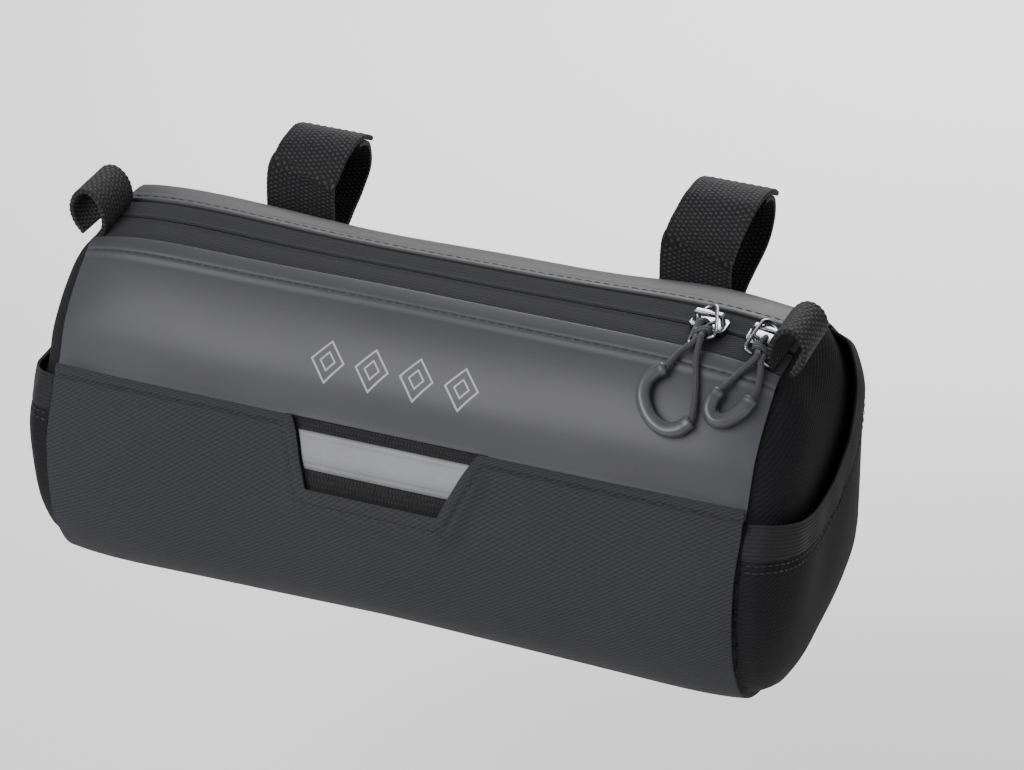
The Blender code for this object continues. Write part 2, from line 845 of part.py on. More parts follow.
def along_pulls(share):
    """A place along the bag, from a share of the end where the pulls lie."""
    return HALF - PULL_AREA * (1 - share)


def slider_place(name):
    """Maps lengths along the bag, around it and out of it to points at a slider."""
    middle, along, around, out = skin_frame(along_pulls(SLIDERS[name][0]), OUTLINE.named["zip"])
    return lambda a, b, c: middle + along * a + around * b + out * c


def tab_place(name):
    """Maps lengths down a tab, across it and out of it to points at the tab."""
    share, way, hook, swing = SLIDERS[name]
    middle, along, around, out = skin_frame(along_pulls(share), OUTLINE.named["zip"])
    bar = GAP + SLIDER_THICKNESS + BRIDGE_WINDOW + BRIDGE_BAR / 2
    eye = middle + along * hook * BRIDGE_LENGTH + out * bar
    forward = along * math.sin(swing) - around * math.cos(swing)
    sideways = along * math.cos(swing) + around * math.sin(swing)
    down = forward * math.cos(TAB_SLOPE) - out * math.sin(TAB_SLOPE)
    above = out * math.cos(TAB_SLOPE) + forward * math.sin(TAB_SLOPE)
    across = sideways * math.cos(TAB_TWIST) + above * math.sin(TAB_TWIST) * way
    proud = above * math.cos(TAB_TWIST) - sideways * math.sin(TAB_TWIST) * way
    return lambda t, s, n: eye + down * t + across * s + proud * n


def make_slider(name, material, collection, cutters):
    way = SLIDERS[name][1]
    place = slider_place(name)
    half, wide, tail = SLIDER_LENGTH / 2, SLIDER_WIDTH / 2, SLIDER_TAIL / 2
    edge = ((-1.0, 0.6 * tail), (-0.85, tail), (0.1, 0.85 * wide), (0.5, wide), (0.88, 0.9 * wide),
            (1.0, 0.6 * wide))
    corners = [(way * a * half, b) for a, b in edge] + [(way * a * half, -b) for a, b in edge[::-1]]
    top = GAP + SLIDER_THICKNESS
    mesh = prism("slider_" + name, corners, GAP, top, place)
    piece = add_object("zip_slider_" + name, mesh, material, collection)
    foot = top - BRIDGE_FOOT
    under = top + BRIDGE_WINDOW
    over = under + BRIDGE_BAR
    reach = BRIDGE_LENGTH / 2
    post = BRIDGE_BAR
    profile = [(-reach, foot), (-reach + post / 2, over - post / 2), (-reach + post, over)]
    inner = [(reach - post, foot), (reach - 1.4 * post, under)]
    profile += [(-a, c) for a, c in profile[::-1]] + inner + [(-a, c) for a, c in inner[::-1]]
    half_width = BRIDGE_WIDTH / 2
    bridge = prism("bridge_" + name, profile, -half_width, half_width,
                   lambda a, c, b: place(a, b, c))
    joined(piece, bridge, cutters)


def make_tab(name, material, collection, cutters):
    place = tab_place(name)
    ring = [(-TAB_EYE * math.cos(turn), TAB_EYE * math.sin(turn))
            for turn in spread(-math.pi / 2, math.pi / 2, 6)]
    side = [(down * TAB_LENGTH, across * TAB_WIDTH / 2) for down, across in TAB_SIDE]
    ring += side + [(t, -s) for t, s in side[::-1]]
    radius = TAB_WIRE / 2
    mesh = wire_mesh("pull_tab_" + name, [place(t, s, 0.0) for t, s in ring], radius, cyclic=True)
    piece = add_object("pull_tab_" + name, mesh, material, collection)
    reach = TAB_SIDE[0][1] * TAB_WIDTH / 2
    bar = [place(TAB_BAR, s, 0.0) for s in (-reach, reach)]
    joined(piece, wire_mesh("bar_" + name, bar, radius), cutters)


def grip_line(name):
    return [skin(along_pulls(along), OUTLINE.named["front_fold"] - down * PULL_DROP, GRIP_LIFT)
            for along, down in open_curve(GRIPS[name], 2)]


def point_along(line, length):
    """The point a length down a line of points."""
    for a, b in zip(line, line[1:]):
        size = (b - a).length
        if length <= size:
            return a.lerp(b, length / size)
        length -= size
    return line[-1]


def held_end(line):
    """The cord's points inside one end of a grip, from the inside out."""
    return [point_along(line, GRIP_HOLD), point_along(line, GRIP_HOLD / 2), line[0]]


def cord_points(name):
    """The cord from one end of its grip up round the tab's bar and down to the other end."""
    place = tab_place(name)
    line = grip_line(name)
    first, second = [
        [skin(along_pulls(along), OUTLINE.named["front_fold"] - down * PULL_DROP, lift * GRIP_LIFT)
         for along, down, lift in strand]
        for strand in STRANDS[name]
    ]
    apart = (CORD_DIAMETER + STRAND_GAP) / 2
    clear = (TAB_WIRE + CORD_DIAMETER) / 2 + STRAND_GAP
    knot = ((KNOT_START + KNOT_LENGTH, KNOT_RISE), (KNOT_START, 0.0))
    over = [(TAB_LENGTH + clear, clear), (TAB_LENGTH, clear + STRAND_GAP), *knot]
    up = [place(t, -apart, n) for t, n in over]
    back = [place(t, apart, n) for t, n in over[::-1]]
    turn = []
    for share in spread(0.0, 1.0, 6):
        angle = math.radians(mix(50, 310, share))
        turn.append(place(TAB_BAR + clear * math.cos(angle), apart * (2 * share - 1),
                          clear * math.sin(angle)))
    return [*held_end(line), *first, *up, *turn, *back, *second, *held_end(line[::-1])[::-1]]


def make_grip(name, material, collection):
    mesh = wire_mesh("pull_grip_" + name, grip_line(name), GRIP_DIAMETER / 2, capped=False)
    piece = add_object("pull_grip_" + name, mesh, material, collection)
    thicken(piece, GRIP_WALL)


def make_knot(name, material, collection):
    """A wrap round both strands: a short sleeve with an oval section."""
    place = tab_place(name)
    apart = (CORD_DIAMETER + STRAND_GAP) / 2
    build = bmesh.new()
    rings = []
    for share, wall in ((0.0, 0.0), (0.0, KNOT_WALL), (1.0, KNOT_WALL), (1.0, 0.0)):
        radius = CORD_DIAMETER / 2 + KNOT_CLEARANCE + wall
        t = KNOT_START + share * KNOT_LENGTH
        rise = share * KNOT_RISE
        ring = []
        for i in range(KNOT_POINTS):
            angle = 2 * math.pi * i / KNOT_POINTS
            s = radius * math.cos(angle) + math.copysign(apart, math.cos(angle))
            ring.append(build.verts.new(place(t, s, rise + radius * math.sin(angle))))
        rings.append(ring)
    for i in range(KNOT_POINTS):
        k = (i + 1) % KNOT_POINTS
        for ring, following in zip(rings, rings[1:] + rings[:1]):
            build.faces.new((ring[i], ring[k], following[k], following[i]))
    bmesh.ops.recalc_face_normals(build, faces=build.faces[:])
    mesh = bpy.data.meshes.new("pull_knot_" + name)
    build.to_mesh(mesh)
    build.free()
    add_object("pull_knot_" + name, mesh, material, collection)


def make_pulls(materials, collection, cutters):
    for name in SLIDERS:
        make_slider(name, materials["metal"], collection, cutters)
        make_tab(name, materials["metal"], collection, cutters)
        cord = wire_curve("pull_cord_" + name, cord_points(name), CORD_DIAMETER / 2)
        add_object("pull_cord_" + name, cord, materials["cord"], collection)
        make_knot(name, materials["cord"], collection)
        make_grip(name, materials["rubber"], collection)


def main():
    for piece in list(bpy.data.objects):
        bpy.data.objects.remove(piece, do_unlink=True)
    collection = bpy.data.collections.new("handlebar_bag")
    bpy.context.scene.collection.children.link(collection)
    cutters = bpy.data.collections.new("cutters")
    bpy.context.scene.collection.children.link(cutters)
    cutters.hide_render = True
    materials = {
        "coated": new_material("coated cloth", (0.055, 0.055, 0.06), 0.45),
        "woven": new_material("woven cloth", (0.035, 0.035, 0.038), 0.75),
        "tape": new_material("zip cloth", (0.04, 0.04, 0.042), 0.7),
        "webbing": new_material("webbing", (0.012, 0.012, 0.013), 0.85),
        "reflective": new_material("reflective film", (0.35, 0.35, 0.37), 0.35),
        "metal": new_material("black nickel", (0.08, 0.08, 0.085), 0.2, 1.0),
        "cord": new_material("cord", (0.015, 0.015, 0.016), 0.8),
        "rubber": new_material("rubber", (0.02, 0.02, 0.021), 0.5),
    }
    make_front_panel(materials["coated"], collection)
    make_lower_panel(materials["woven"], collection)
    make_back_panel(materials["woven"], collection)
    make_top(materials, collection)
    make_window(materials, collection)
    for side, word in ((-1, "left"), (1, "right")):
        end_panel("end_panel_" + word, side, materials["woven"], collection)
        side_pocket("side_pocket_" + word, side, materials["woven"], collection)
        pocket_band("pocket_band_" + word, side, materials["webbing"], collection)
        side_loop("side_loop_" + word, side, materials["webbing"], collection)
    make_straps(materials["webbing"], collection)
    make_pulls(materials, collection, cutters)


if __name__ == "__main__":
    main()
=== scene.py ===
import math

import bpy
import numpy as np
from bpy.props import FloatProperty, FloatVectorProperty, PointerProperty
from mathutils import Matrix, Vector


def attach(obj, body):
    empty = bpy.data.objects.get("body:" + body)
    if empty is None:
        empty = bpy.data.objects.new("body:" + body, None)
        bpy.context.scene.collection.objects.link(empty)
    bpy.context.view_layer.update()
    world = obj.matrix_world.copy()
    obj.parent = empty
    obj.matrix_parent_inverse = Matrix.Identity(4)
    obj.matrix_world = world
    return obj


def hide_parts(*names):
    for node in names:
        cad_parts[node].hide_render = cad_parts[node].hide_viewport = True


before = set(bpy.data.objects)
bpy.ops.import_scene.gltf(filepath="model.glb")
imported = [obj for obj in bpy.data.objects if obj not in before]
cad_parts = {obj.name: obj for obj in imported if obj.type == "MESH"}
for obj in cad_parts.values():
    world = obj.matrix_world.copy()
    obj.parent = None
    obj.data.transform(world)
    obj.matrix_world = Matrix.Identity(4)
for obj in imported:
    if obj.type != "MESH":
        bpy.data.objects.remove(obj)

bl_info = {
    "name": "Handlebar bag",
    "version": (1, 0, 0),
    "blender": (4, 5, 0),
    "location": "View3D > Sidebar > Handlebar bag",
    "description": "Dresses a handlebar bag with cloth, webbing, stitches and fittings",
    "category": "Mesh",
}

MM = 0.001

# Cloth, webbing and the gap between pieces that touch
CLOTH = 1.5 * MM
WEBBING = 1.5 * MM
GAP = 0.3 * MM

# The handlebar that the straps go round
BAR_RADIUS = 11 * MM
BAR_CLEARANCE = 0.3 * MM

# The main form at its end seams
BAG_LENGTH = 240 * MM
BAG_DEPTH = 97 * MM
BAG_HEIGHT = 114 * MM
CREST_ABOVE_BAR = 3 * MM
EDGE_ROUND = 6 * MM
EDGE_POWER = 9
CROWN = 3 * MM
END_PUFF = 11 * MM
PUCKER_REACH = 13 * MM
PUCKER_RISE = 0.16 * MM
SLACK_RISE = 0.22 * MM
END_POWER = 6
END_RECESS = 0.5 * MM
END_CLEARANCE = 0.9 * MM

# Seams and the window across the front
HEM_WIDTH = 4.5 * MM
HEM_BLEND = 6 * MM
WINDOW_TOP = 65 * MM
WINDOW_BOTTOM = 46 * MM
WINDOW_DROP = 21 * MM
WINDOW_MARGIN = 2.5 * MM
WINDOW_INSET = 0.9 * MM
STRIP_WIDTH = 11.2 * MM
STRIP_DROP = 4.6 * MM
STRIP_THICKNESS = 0.4 * MM

# The upper front's folded top edge, and how far it laps over the zip tape
FOLD_STRIP = 4.7 * MM
FOLD_LAP = 1.0 * MM

# The slip pocket on each end
BAND_WIDTH = 11 * MM
BAND_PROUD = 0.4 * MM
BAND_GAP = 1.0 * MM
POCKET_CLEARANCE = 1.4 * MM
POCKET_FULLNESS = 2 * MM
POCKET_START = 24 * MM
POCKET_END = 10 * MM
POCKET_LIMIT = 0.975
POCKET_WALL = 0.75 * MM
BAND_WALL = 0.9 * MM
BAND_RIB = 1.2 * MM
SEAM_REACH = 1.008
SEAM_HEIGHT = 0.9 * MM

# Side loops and straps
LOOP_WIDTH = 20 * MM
LOOP_HEIGHT = 15 * MM
LOOP_REACH = 10.2 * MM
LOOP_SETBACK = 39 * MM
STRAP_WIDTH = 25 * MM
STRAP_SPACING = 140 * MM
SEWN_TOP = -24 * MM
SEWN_LENGTH = 22 * MM

# The selvedge stands in from the webbing's edge, and its dashes are as wide as a yarn
SELVEDGE = 0.25 * MM
YARN = 1.6 * MM
LIGHT_RIB = 1.25 * MM

# Zip, sliders and their tabs
ZIP_SLIT = 0.6 * MM
TAPE_HOLD = 2 * MM
SLIDER_THICKNESS = 1.9 * MM
BRIDGE_LENGTH = 11 * MM
BRIDGE_BAR = 1.2 * MM
BRIDGE_WINDOW = 3 * MM
TAB_EYE = 3.2 * MM
TAB_LENGTH = 12.4 * MM
TAB_WIDTH = 10 * MM
TAB_WIRE = 1.2 * MM
TAB_BAR = 5.6 * MM
# Down the tab and half across it, as shares of its length and half width
TAB_SIDE = ((0.45, 0.84), (0.84, 1.0), (0.96, 0.93), (1.0, 0.74))
TAB_SLOPE = math.radians(12)
TAB_TWIST = math.radians(31)

# Pull cords, their knots and grips
CORD_DIAMETER = 2 * MM
CORD_STEP = 0.4 * MM
GRIP_DIAMETER = 4.8 * MM
GRIP_WALL = 1.1 * MM
GRIP_HOLD = 3 * MM
GRIP_LIFT = GRIP_DIAMETER / 2 + GAP
PULL_AREA = 40 * MM
PULL_DROP = 24 * MM
STRAND_GAP = 0.1 * MM
KNOT_START = 8.2 * MM
KNOT_LENGTH = 2.3 * MM
KNOT_RISE = 0.8 * MM

# The print, and the slope of the twill
PRINT_COUNT = 4
PRINT_PITCH = 15.5 * MM
PRINT_RISE = 18 * MM
PRINT_REACH = 5.6 * MM
PRINT_LINE = 0.4 * MM
PRINT_CORE = 0.35 * MM
TWILL_SLOPE = math.radians(32)

# Stitches, and how near points are before they are one
STITCH_LENGTH = 2.6 * MM
THREAD_WIDTH = 0.42 * MM
SAME_POINT = 0.001 * MM

BAR_TO_BACK = BAR_RADIUS + BAR_CLEARANCE + WEBBING + GAP
HALF = BAG_LENGTH / 2

# The outline at an end seam: back and up as shares of the depth and height, the rounding as
# a share of EDGE_ROUND and the crown as a share of CROWN
SECTION = (
    ("mid_seam", 0.122, 0.672, 0.60, 0.8),
    ("front_upper", 0.180, 0.790, 0.80, 1.0),
    ("front_shoulder", 0.278, 0.886, 0.95, 0.8),
    ("front_fold", 0.392, 0.955, 0.95, 0.1),
    ("zip", 0.526, 0.975, 0.80, -0.5),
    ("rear_seam", 0.650, 0.990, 0.60, -0.5),
    ("crest", 0.775, 0.986, 0.50, -0.8),
    ("rear_shoulder", 0.881, 0.927, 0.40, -0.3),
    ("back_top", 0.970, 0.850, 0.25, 0.0),
    ("back_upper", 1.000, 0.730, 0.00, 0.0),
    ("back_high", 1.000, 0.640, 0.00, 0.0),
    ("back_low", 1.000, 0.340, 0.00, 0.0),
    ("back_lower", 1.000, 0.245, 0.00, 0.0),
    ("back_bottom", 0.946, 0.142, 0.30, 0.0),
    ("under_back", 0.760, 0.061, 0.35, 0.1),
    ("under_mid", 0.540, 0.016, 0.35, 0.2),
    ("under_front", 0.330, -0.011, 0.35, -0.1),
    ("toe", 0.142, 0.054, 0.45, -1.0),
    ("lower_front", 0.037, 0.190, 0.55, 0.3),
    ("front_low", 0.005, 0.330, 0.60, 0.9),
    ("front", 0.008, 0.470, 0.60, 1.0),
    ("front_mid", 0.052, 0.575, 0.60, 1.0),
)
SECTION_STEPS = 14

# Soft dents and swellings: along as a share of half the length, around as a share of the
# outline, with their reaches and rise
FOLDS = (
    (-0.25, 0.24, 0.35, 0.07, -1.3 * MM),
    (0.70, 0.25, 0.22, 0.06, 1.6 * MM),
    (0.97, 0.985, 0.10, 0.03, -1.0 * MM),
    (-0.97, 0.985, 0.10, 0.03, -1.0 * MM),
    (-0.45, 0.075, 0.30, 0.05, -0.8 * MM),
    (0.05, 0.88, 0.55, 0.09, 1.0 * MM),
)

MOUTH = (
    # back, up, band_back, band_up
    (0.095, 0.632, -0.03, -1.0),
    (0.200, 0.610, 0.00, -1.0),
    (0.340, 0.596, 0.05, -1.0),
    (0.490, 0.614, 0.30, -0.95),
    (0.640, 0.680, 0.62, -0.79),
    (0.745, 0.790, 0.88, -0.47),
    (0.815, 0.880, 0.96, -0.28),
    (0.870, 0.950, 0.86, -0.50),
)

LOOP_LINE = (
    # outward, up
    (-0.190, 0.060),
    (-0.330, 0.400),
    (-0.200, 0.760),
    (0.130, 0.960),
    (0.480, 0.890),
    (0.660, 0.620),
    (0.540, 0.320),
    (0.210, 0.060),
)

# The straps' outer lines round the bar: angle from the front over the top, clearance over
# BAR_RADIUS, and the lean along the bar as a share of the width
LEGS = {
    "strap_left": ((0, 1.8, -0.10), (30, 2.0, -0.04), (60, 2.9, 0.02), (90, 3.8, 0.06),
                   (112, 4.0, 0.08), (132, 4.2, 0.09)),
    "strap_right": ((0, 1.8, -0.03), (25, 3.2, 0.02), (50, 6.0, 0.10), (75, 9.2, 0.18),
                    (97, 10.6, 0.21), (115, 11.2, 0.23), (128, 11.0, 0.24)),
    "strap_hook_left": ((255, 4.5, -0.10), (220, 1.9, -0.06), (180, 1.8, 0.00),
                        (140, 1.9, 0.04), (112, 2.0, 0.06), (92, 1.9, 0.06)),
    "strap_hook_right": ((255, 4.8, -0.03), (220, 2.6, 0.02), (180, 3.6, 0.12),
                         (152, 6.2, 0.17), (130, 8.6, 0.20), (112, 9.1, 0.21),
                         (98, 8.5, 0.21)),
}

SLIDERS = {
    # place as a share of PULL_AREA, way of the wide end, hook, the tab's swing along the bag
    "left": (0.295, 1, -0.02, math.radians(10)),
    "right": (0.766, -1, 0.02, math.radians(4)),
}
GRIPS = {
    "left": ((0.166, 0.31), (0.094, 0.40), (0.052, 0.53), (0.067, 0.72), (0.154, 0.91),
             (0.28, 1.01), (0.397, 0.98), (0.478, 0.86)),
    "right": ((0.628, 0.42), (0.595, 0.55), (0.595, 0.68), (0.646, 0.775), (0.736, 0.75),
              (0.829, 0.59), (0.8725, 0.41)),
}
STRANDS = {
    # along, down, lift as a share of GRIP_LIFT
    "left": (((0.193, 0.20, 1.00), (0.226, 0.08, 0.95)),
             ((0.37, 0.12, 0.95), (0.415, 0.34, 0.70), (0.454, 0.56, 0.75), (0.475, 0.72, 0.95))),
    "right": (((0.664, 0.32, 0.95), (0.724, 0.14, 0.90)),
              ((0.88, 0.10, 1.00), (0.889, 0.28, 0.95))),
}

# The camera: where it aims, its turn and height in degrees, its distance and lens
AIM = (0.0248, -0.06, -0.0308)
TURN = 22.98
HEIGHT = 29.34
DISTANCE = 1.4551
LENS = 158.5
FLOOR_DROP = 0.30


def mix(a, b, share):
    return a + (b - a) * share


def smooth_step(share):
    share = np.clip(share, 0.0, 1.0)
    return share * share * (3 - 2 * share)


def bump(distance, reach):
    """A smooth hill, 1 where distance is nothing."""
    return np.exp(-(distance / reach) ** 2)


def catmull(before, start, end, after, share):
    return 0.5 * (2 * start + (end - before) * share
                  + (2 * before - 5 * start + 4 * end - after) * share ** 2
                  + (3 * start - before - 3 * end + after) * share ** 3)


def open_curve(points, steps):
    """A smooth curve through an open row of points, with steps to a span."""
    points = np.asarray(points, float)
    row = np.vstack([2 * points[0] - points[1], points, 2 * points[-1] - points[-2]])
    share = (np.arange(steps) / steps)[:, None]
    spans = [catmull(*row[i:i + 4], share) for i in range(len(points) - 1)]
    return np.vstack([*spans, points[-1:]])


def walked(line):
    """Lengths from the start of a line to each of its points."""
    return np.concatenate([[0.0], np.cumsum(np.linalg.norm(np.diff(line, axis=0), axis=1))])


def read_at(at, run, rows):
    """Rows read between their points, at lengths of the run."""
    return np.column_stack([np.interp(at, run, column) for column in np.transpose(rows)])


def resample(points, count):
    """Points at even lengths along a line."""
    run = walked(points)
    return read_at(np.linspace(0.0, run[-1], count), run, points)


def unit(vectors):
    return vectors / np.linalg.norm(vectors, axis=-1, keepdims=True)


def back_to_y(share):
    return -BAR_TO_BACK - BAG_DEPTH * (1 - share)


def up_to_z(share):
    return CREST_ABOVE_BAR - BAG_HEIGHT * (1 - share)


class Outline:
    """The bag's closed outline at an end seam, read by the length walked along it."""

    def __init__(self):
        rows = np.array([(back_to_y(b), up_to_z(u), r, c) for _, b, u, r, c in SECTION])
        share = (np.arange(SECTION_STEPS) / SECTION_STEPS)[:, None]
        spans = [np.roll(rows, 1 - i, axis=0)[:4] for i in range(len(rows))]
        points = np.vstack([catmull(*span, share) for span in spans])
        after, before = np.roll(points, -1, axis=0), np.roll(points, 1, axis=0)
        out = unit(np.column_stack([before[:, 1] - after[:, 1], after[:, 0] - before[:, 0]]))
        self.table = np.column_stack([points, out])
        self.table = np.vstack([self.table, self.table[:1]])
        self.walked = walked(self.table[:, :2])
        self.length = self.walked[-1]
        self.named = {row[0]: self.walked[i * SECTION_STEPS] for i, row in enumerate(SECTION)}

    def at(self, walk):
        """Y, Z, rounding, crown and the outward normal's Y and Z at walked lengths."""
        walk = np.mod(walk, self.length)
        return [np.interp(walk, self.walked, self.table[:, k]) for k in range(6)]


OUTLINE = Outline()
NAMED = OUTLINE.named
END_CENTRE = (back_to_y(0.52), up_to_z(0.48))
END_INSET = CLOTH + END_CLEARANCE


def skin(x, walk, out=0.0):
    """Points on the bag's cloth, with out metres to the outside."""
    x, walk, out = np.broadcast_arrays(x, walk, out)
    y, z, rounding, crown, out_y, out_z = OUTLINE.at(walk)
    share = np.minimum(np.abs(x) / HALF, 1.0)
    hold = 1 - share ** EDGE_POWER
    rise = EDGE_ROUND * rounding * hold + CROWN * crown * (1 - share ** 2)
    around = np.mod(walk / OUTLINE.length, 1.0)
    for along, place, reach_along, reach_around, height in FOLDS:
        off = np.abs(around - place)
        off = np.minimum(off, 1 - off)
        rise = rise + hold * height * bump(x / HALF - along, reach_along) * bump(off, reach_around)
    rise = rise + out
    return np.stack([x, y + out_y * rise, z + out_z * rise], axis=-1)


def skin_frame(x, walk):
    """A point on the cloth with the directions along the bag, around it and out of it."""
    step = 2 * MM
    along = unit(skin(x + step, walk) - skin(x - step, walk))
    around = unit(skin(x, walk + step) - skin(x, walk - step))
    out = unit(np.cross(along, around))
    return skin(x, walk), along, np.cross(out, along), out


def puckers(x, walk):
    """Small folds of the cloth that run in from the end seams."""
    from_end = HALF - np.abs(x)
    side = np.sign(x)
    wave = (np.sin(walk / (6.1 * MM) + 1.3 * side)
            + 0.7 * np.sin(walk / (3.7 * MM) + 2.1 * side + x / (21 * MM)))
    near = bump(from_end, PUCKER_REACH) * (1 - bump(from_end, 2.5 * MM))
    slack = (np.sin(x / (17 * MM) + 2.2 * np.sin(walk / (23 * MM)))
             * np.sin(walk / (19 * MM) + x / (61 * MM)))
    return PUCKER_RISE * near * wave + SLACK_RISE * slack * (1 - np.abs(x / HALF) ** 8)


# Meshes

def deselect():
    for piece in bpy.context.selected_objects:
        piece.select_set(False)


def grid_piece(name, points, uv):
    """A grid primitive whose points are put at the given places. uv is in metres."""
    count_x, count_y = points.shape[:2]
    deselect()
    bpy.ops.mesh.primitive_grid_add(x_subdivisions=count_x - 1, y_subdivisions=count_y - 1, size=2)
    piece = bpy.context.object
    piece.name = piece.data.name = name
    mesh = piece.data
    flat = np.empty(len(mesh.vertices) * 3)
    mesh.vertices.foreach_get("co", flat)
    flat = flat.reshape(-1, 3)
    i = np.rint((flat[:, 0] + 1) / 2 * (count_x - 1)).astype(int)
    j = np.rint((flat[:, 1] + 1) / 2 * (count_y - 1)).astype(int)
    mesh.vertices.foreach_set("co", points[i, j].ravel())
    corner = np.empty(len(mesh.loops), dtype=np.int32)
    mesh.loops.foreach_get("vertex_index", corner)
    layer = mesh.uv_layers[0]
    layer.name = "cloth"
    layer.data.foreach_set("uv", uv[i[corner], j[corner]].astype(np.float32).ravel())
    mesh.update()
    return piece


def use_modifier(piece, kind, **settings):
    """Adds a modifier with its settings and applies it."""
    deselect()
    piece.select_set(True)
    bpy.context.view_layer.objects.active = piece
    made = piece.modifiers.new(kind.lower(), kind)
    for key, value in settings.items():
        setattr(made, key, value)
    bpy.ops.object.modifier_apply(modifier=made.name)


def in_edit_mode(piece, *steps):
    """Runs edit mode operators on the whole of a piece."""
    deselect()
    piece.select_set(True)
    bpy.context.view_layer.objects.active = piece
    bpy.ops.object.mode_set(mode="EDIT")
    bpy.ops.mesh.select_all(action="SELECT")
    for step, settings in steps:
        step(**settings)
    bpy.ops.object.mode_set(mode="OBJECT")


def smooth(piece, angle=40):
    deselect()
    piece.select_set(True)
    bpy.context.view_layer.objects.active = piece
    bpy.ops.object.shade_smooth_by_angle(angle=math.radians(angle))


def finish_piece(piece, material, slot, *nodes):
    """Gives a piece its material, puts it on the root body and hides its nodes. The slot is not
    used.
    """
    piece.data.materials.clear()
    piece.data.materials.append(material)
    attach(piece, "root")
    if nodes:
        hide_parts(*nodes)
    return piece


def cloth_wall(piece, thickness, edge=0.35 * MM):
    """Gives an open sheet its thickness inwards and softens its cut edges."""
    use_modifier(piece, "SOLIDIFY", thickness=thickness, offset=-1.0)
    use_modifier(piece, "BEVEL", width=edge, segments=2, limit_method="ANGLE",
                 angle_limit=math.radians(60))
    smooth(piece, 50)


def panel(name, xs, walks, out, material, slot, thickness=CLOTH):
    """A panel of the bag's cloth. walks has a row of walked lengths for each place in xs."""
    x = np.broadcast_to(np.asarray(xs)[:, None], walks.shape)
    points = skin(x, walks, out(x, walks) + puckers(x, walks))
    piece = grid_piece(name, points, np.stack([x, walks], axis=-1))
    cloth_wall(piece, thickness)
    return finish_piece(piece, material, slot, name)


def loft(name, rings, uv, capped=True):
    """A closed skin through rings of points, with filled ends."""
    rings = np.concatenate([rings, rings[:, :1]], axis=1)
    piece = grid_piece(name, rings, uv)
    in_edit_mode(
        piece,
        (bpy.ops.mesh.remove_doubles, {"threshold": SAME_POINT}),
        *(((bpy.ops.mesh.fill_holes, {"sides": 0}),) if capped else ()),
        (bpy.ops.mesh.normals_make_consistent, {"inside": False}),
    )
    return piece


def frames_along(line, across=None):
    """Tangents and two square directions at each point of a line."""
    tangent = unit(np.gradient(line, axis=0))
    if across is None:
        side = np.cross(tangent[0], (0.0, 0.0, 1.0))
        if np.linalg.norm(side) < 0.1:
            side = np.cross(tangent[0], (1.0, 0.0, 0.0))
        sides = []
        for t in tangent:
            side = side - t * np.dot(side, t)
            side = side / np.linalg.norm(side)
            sides.append(side)
        side = np.array(sides)
    else:
        side = across - tangent * np.sum(across * tangent, axis=1, keepdims=True)
        side = unit(side)
    return tangent, side, np.cross(side, tangent)


def tube(name, line, radius, sides=12, capped=True, ridges=0.0):
    """A round tube along a line. ridges is the rise of its four ridges, as a share of radius."""
    _, side, up = frames_along(line)
    turn = np.linspace(0, 2 * math.pi, sides, endpoint=False)
    radius = np.broadcast_to(radius, len(line))[:, None, None]
    radius = radius * (1 + ridges * np.cos(4 * turn))[None, :, None]
    rings = (line[:, None] + radius * (side[:, None] * np.cos(turn)[None, :, None]
                                       + up[:, None] * np.sin(turn)[None, :, None]))
    run = walked(line)
    girth = np.linspace(0, 2 * math.pi * np.mean(radius), sides + 1)
    uv = np.stack(np.meshgrid(run, girth, indexing="ij"), axis=-1)
    return loft(name, rings, uv, capped)


def ribbon(name, line, across, width, thickness, out_way, pitch, height, columns=20):
    """Webbing along its outer line, with ribs across it."""
    _, side, out = frames_along(line, across)
    out = out * out_way
    run = walked(line)
    s = np.linspace(-0.5, 0.5, columns)
    ends = np.array([0.06, 0.45, 0.55, 0.94])
    lateral = np.concatenate([s, np.full(4, 0.5), s[::-1], np.full(4, -0.5)]) * width
    depth = np.concatenate([np.zeros(columns), ends, np.ones(columns), ends[::-1]]) * thickness
    corner = np.concatenate([np.zeros(columns), [0, 1, 1, 0], np.zeros(columns), [0, 1, 1, 0]])
    at_edge = (1 - corner) * (np.abs(lateral) > 0.49 * width)
    lateral = lateral - np.sign(lateral) * at_edge * SELVEDGE
    face = np.concatenate([np.ones(columns), np.zeros(4), -np.ones(columns), np.zeros(4)])
    # Each yarn's ribs lie half a rib on from its neighbour's
    stagger = np.pi / 2 * np.mod(np.floor(lateral / YARN), 2)[None, :]
    rib = np.abs(np.sin(np.pi * run[:, None] / pitch + stagger))
    lift = height * (rib - 0.5) * face[None, :]
    points = (line[:, None] + side[:, None] * lateral[None, :, None]
              + out[:, None] * (lift - depth[None, :])[..., None])
    girth = np.concatenate([lateral, lateral[:1]])
    uv = np.stack(np.meshgrid(run, girth, indexing="ij"), axis=-1)
    piece = loft(name, points, uv)
    smooth(piece, 60)
    return piece


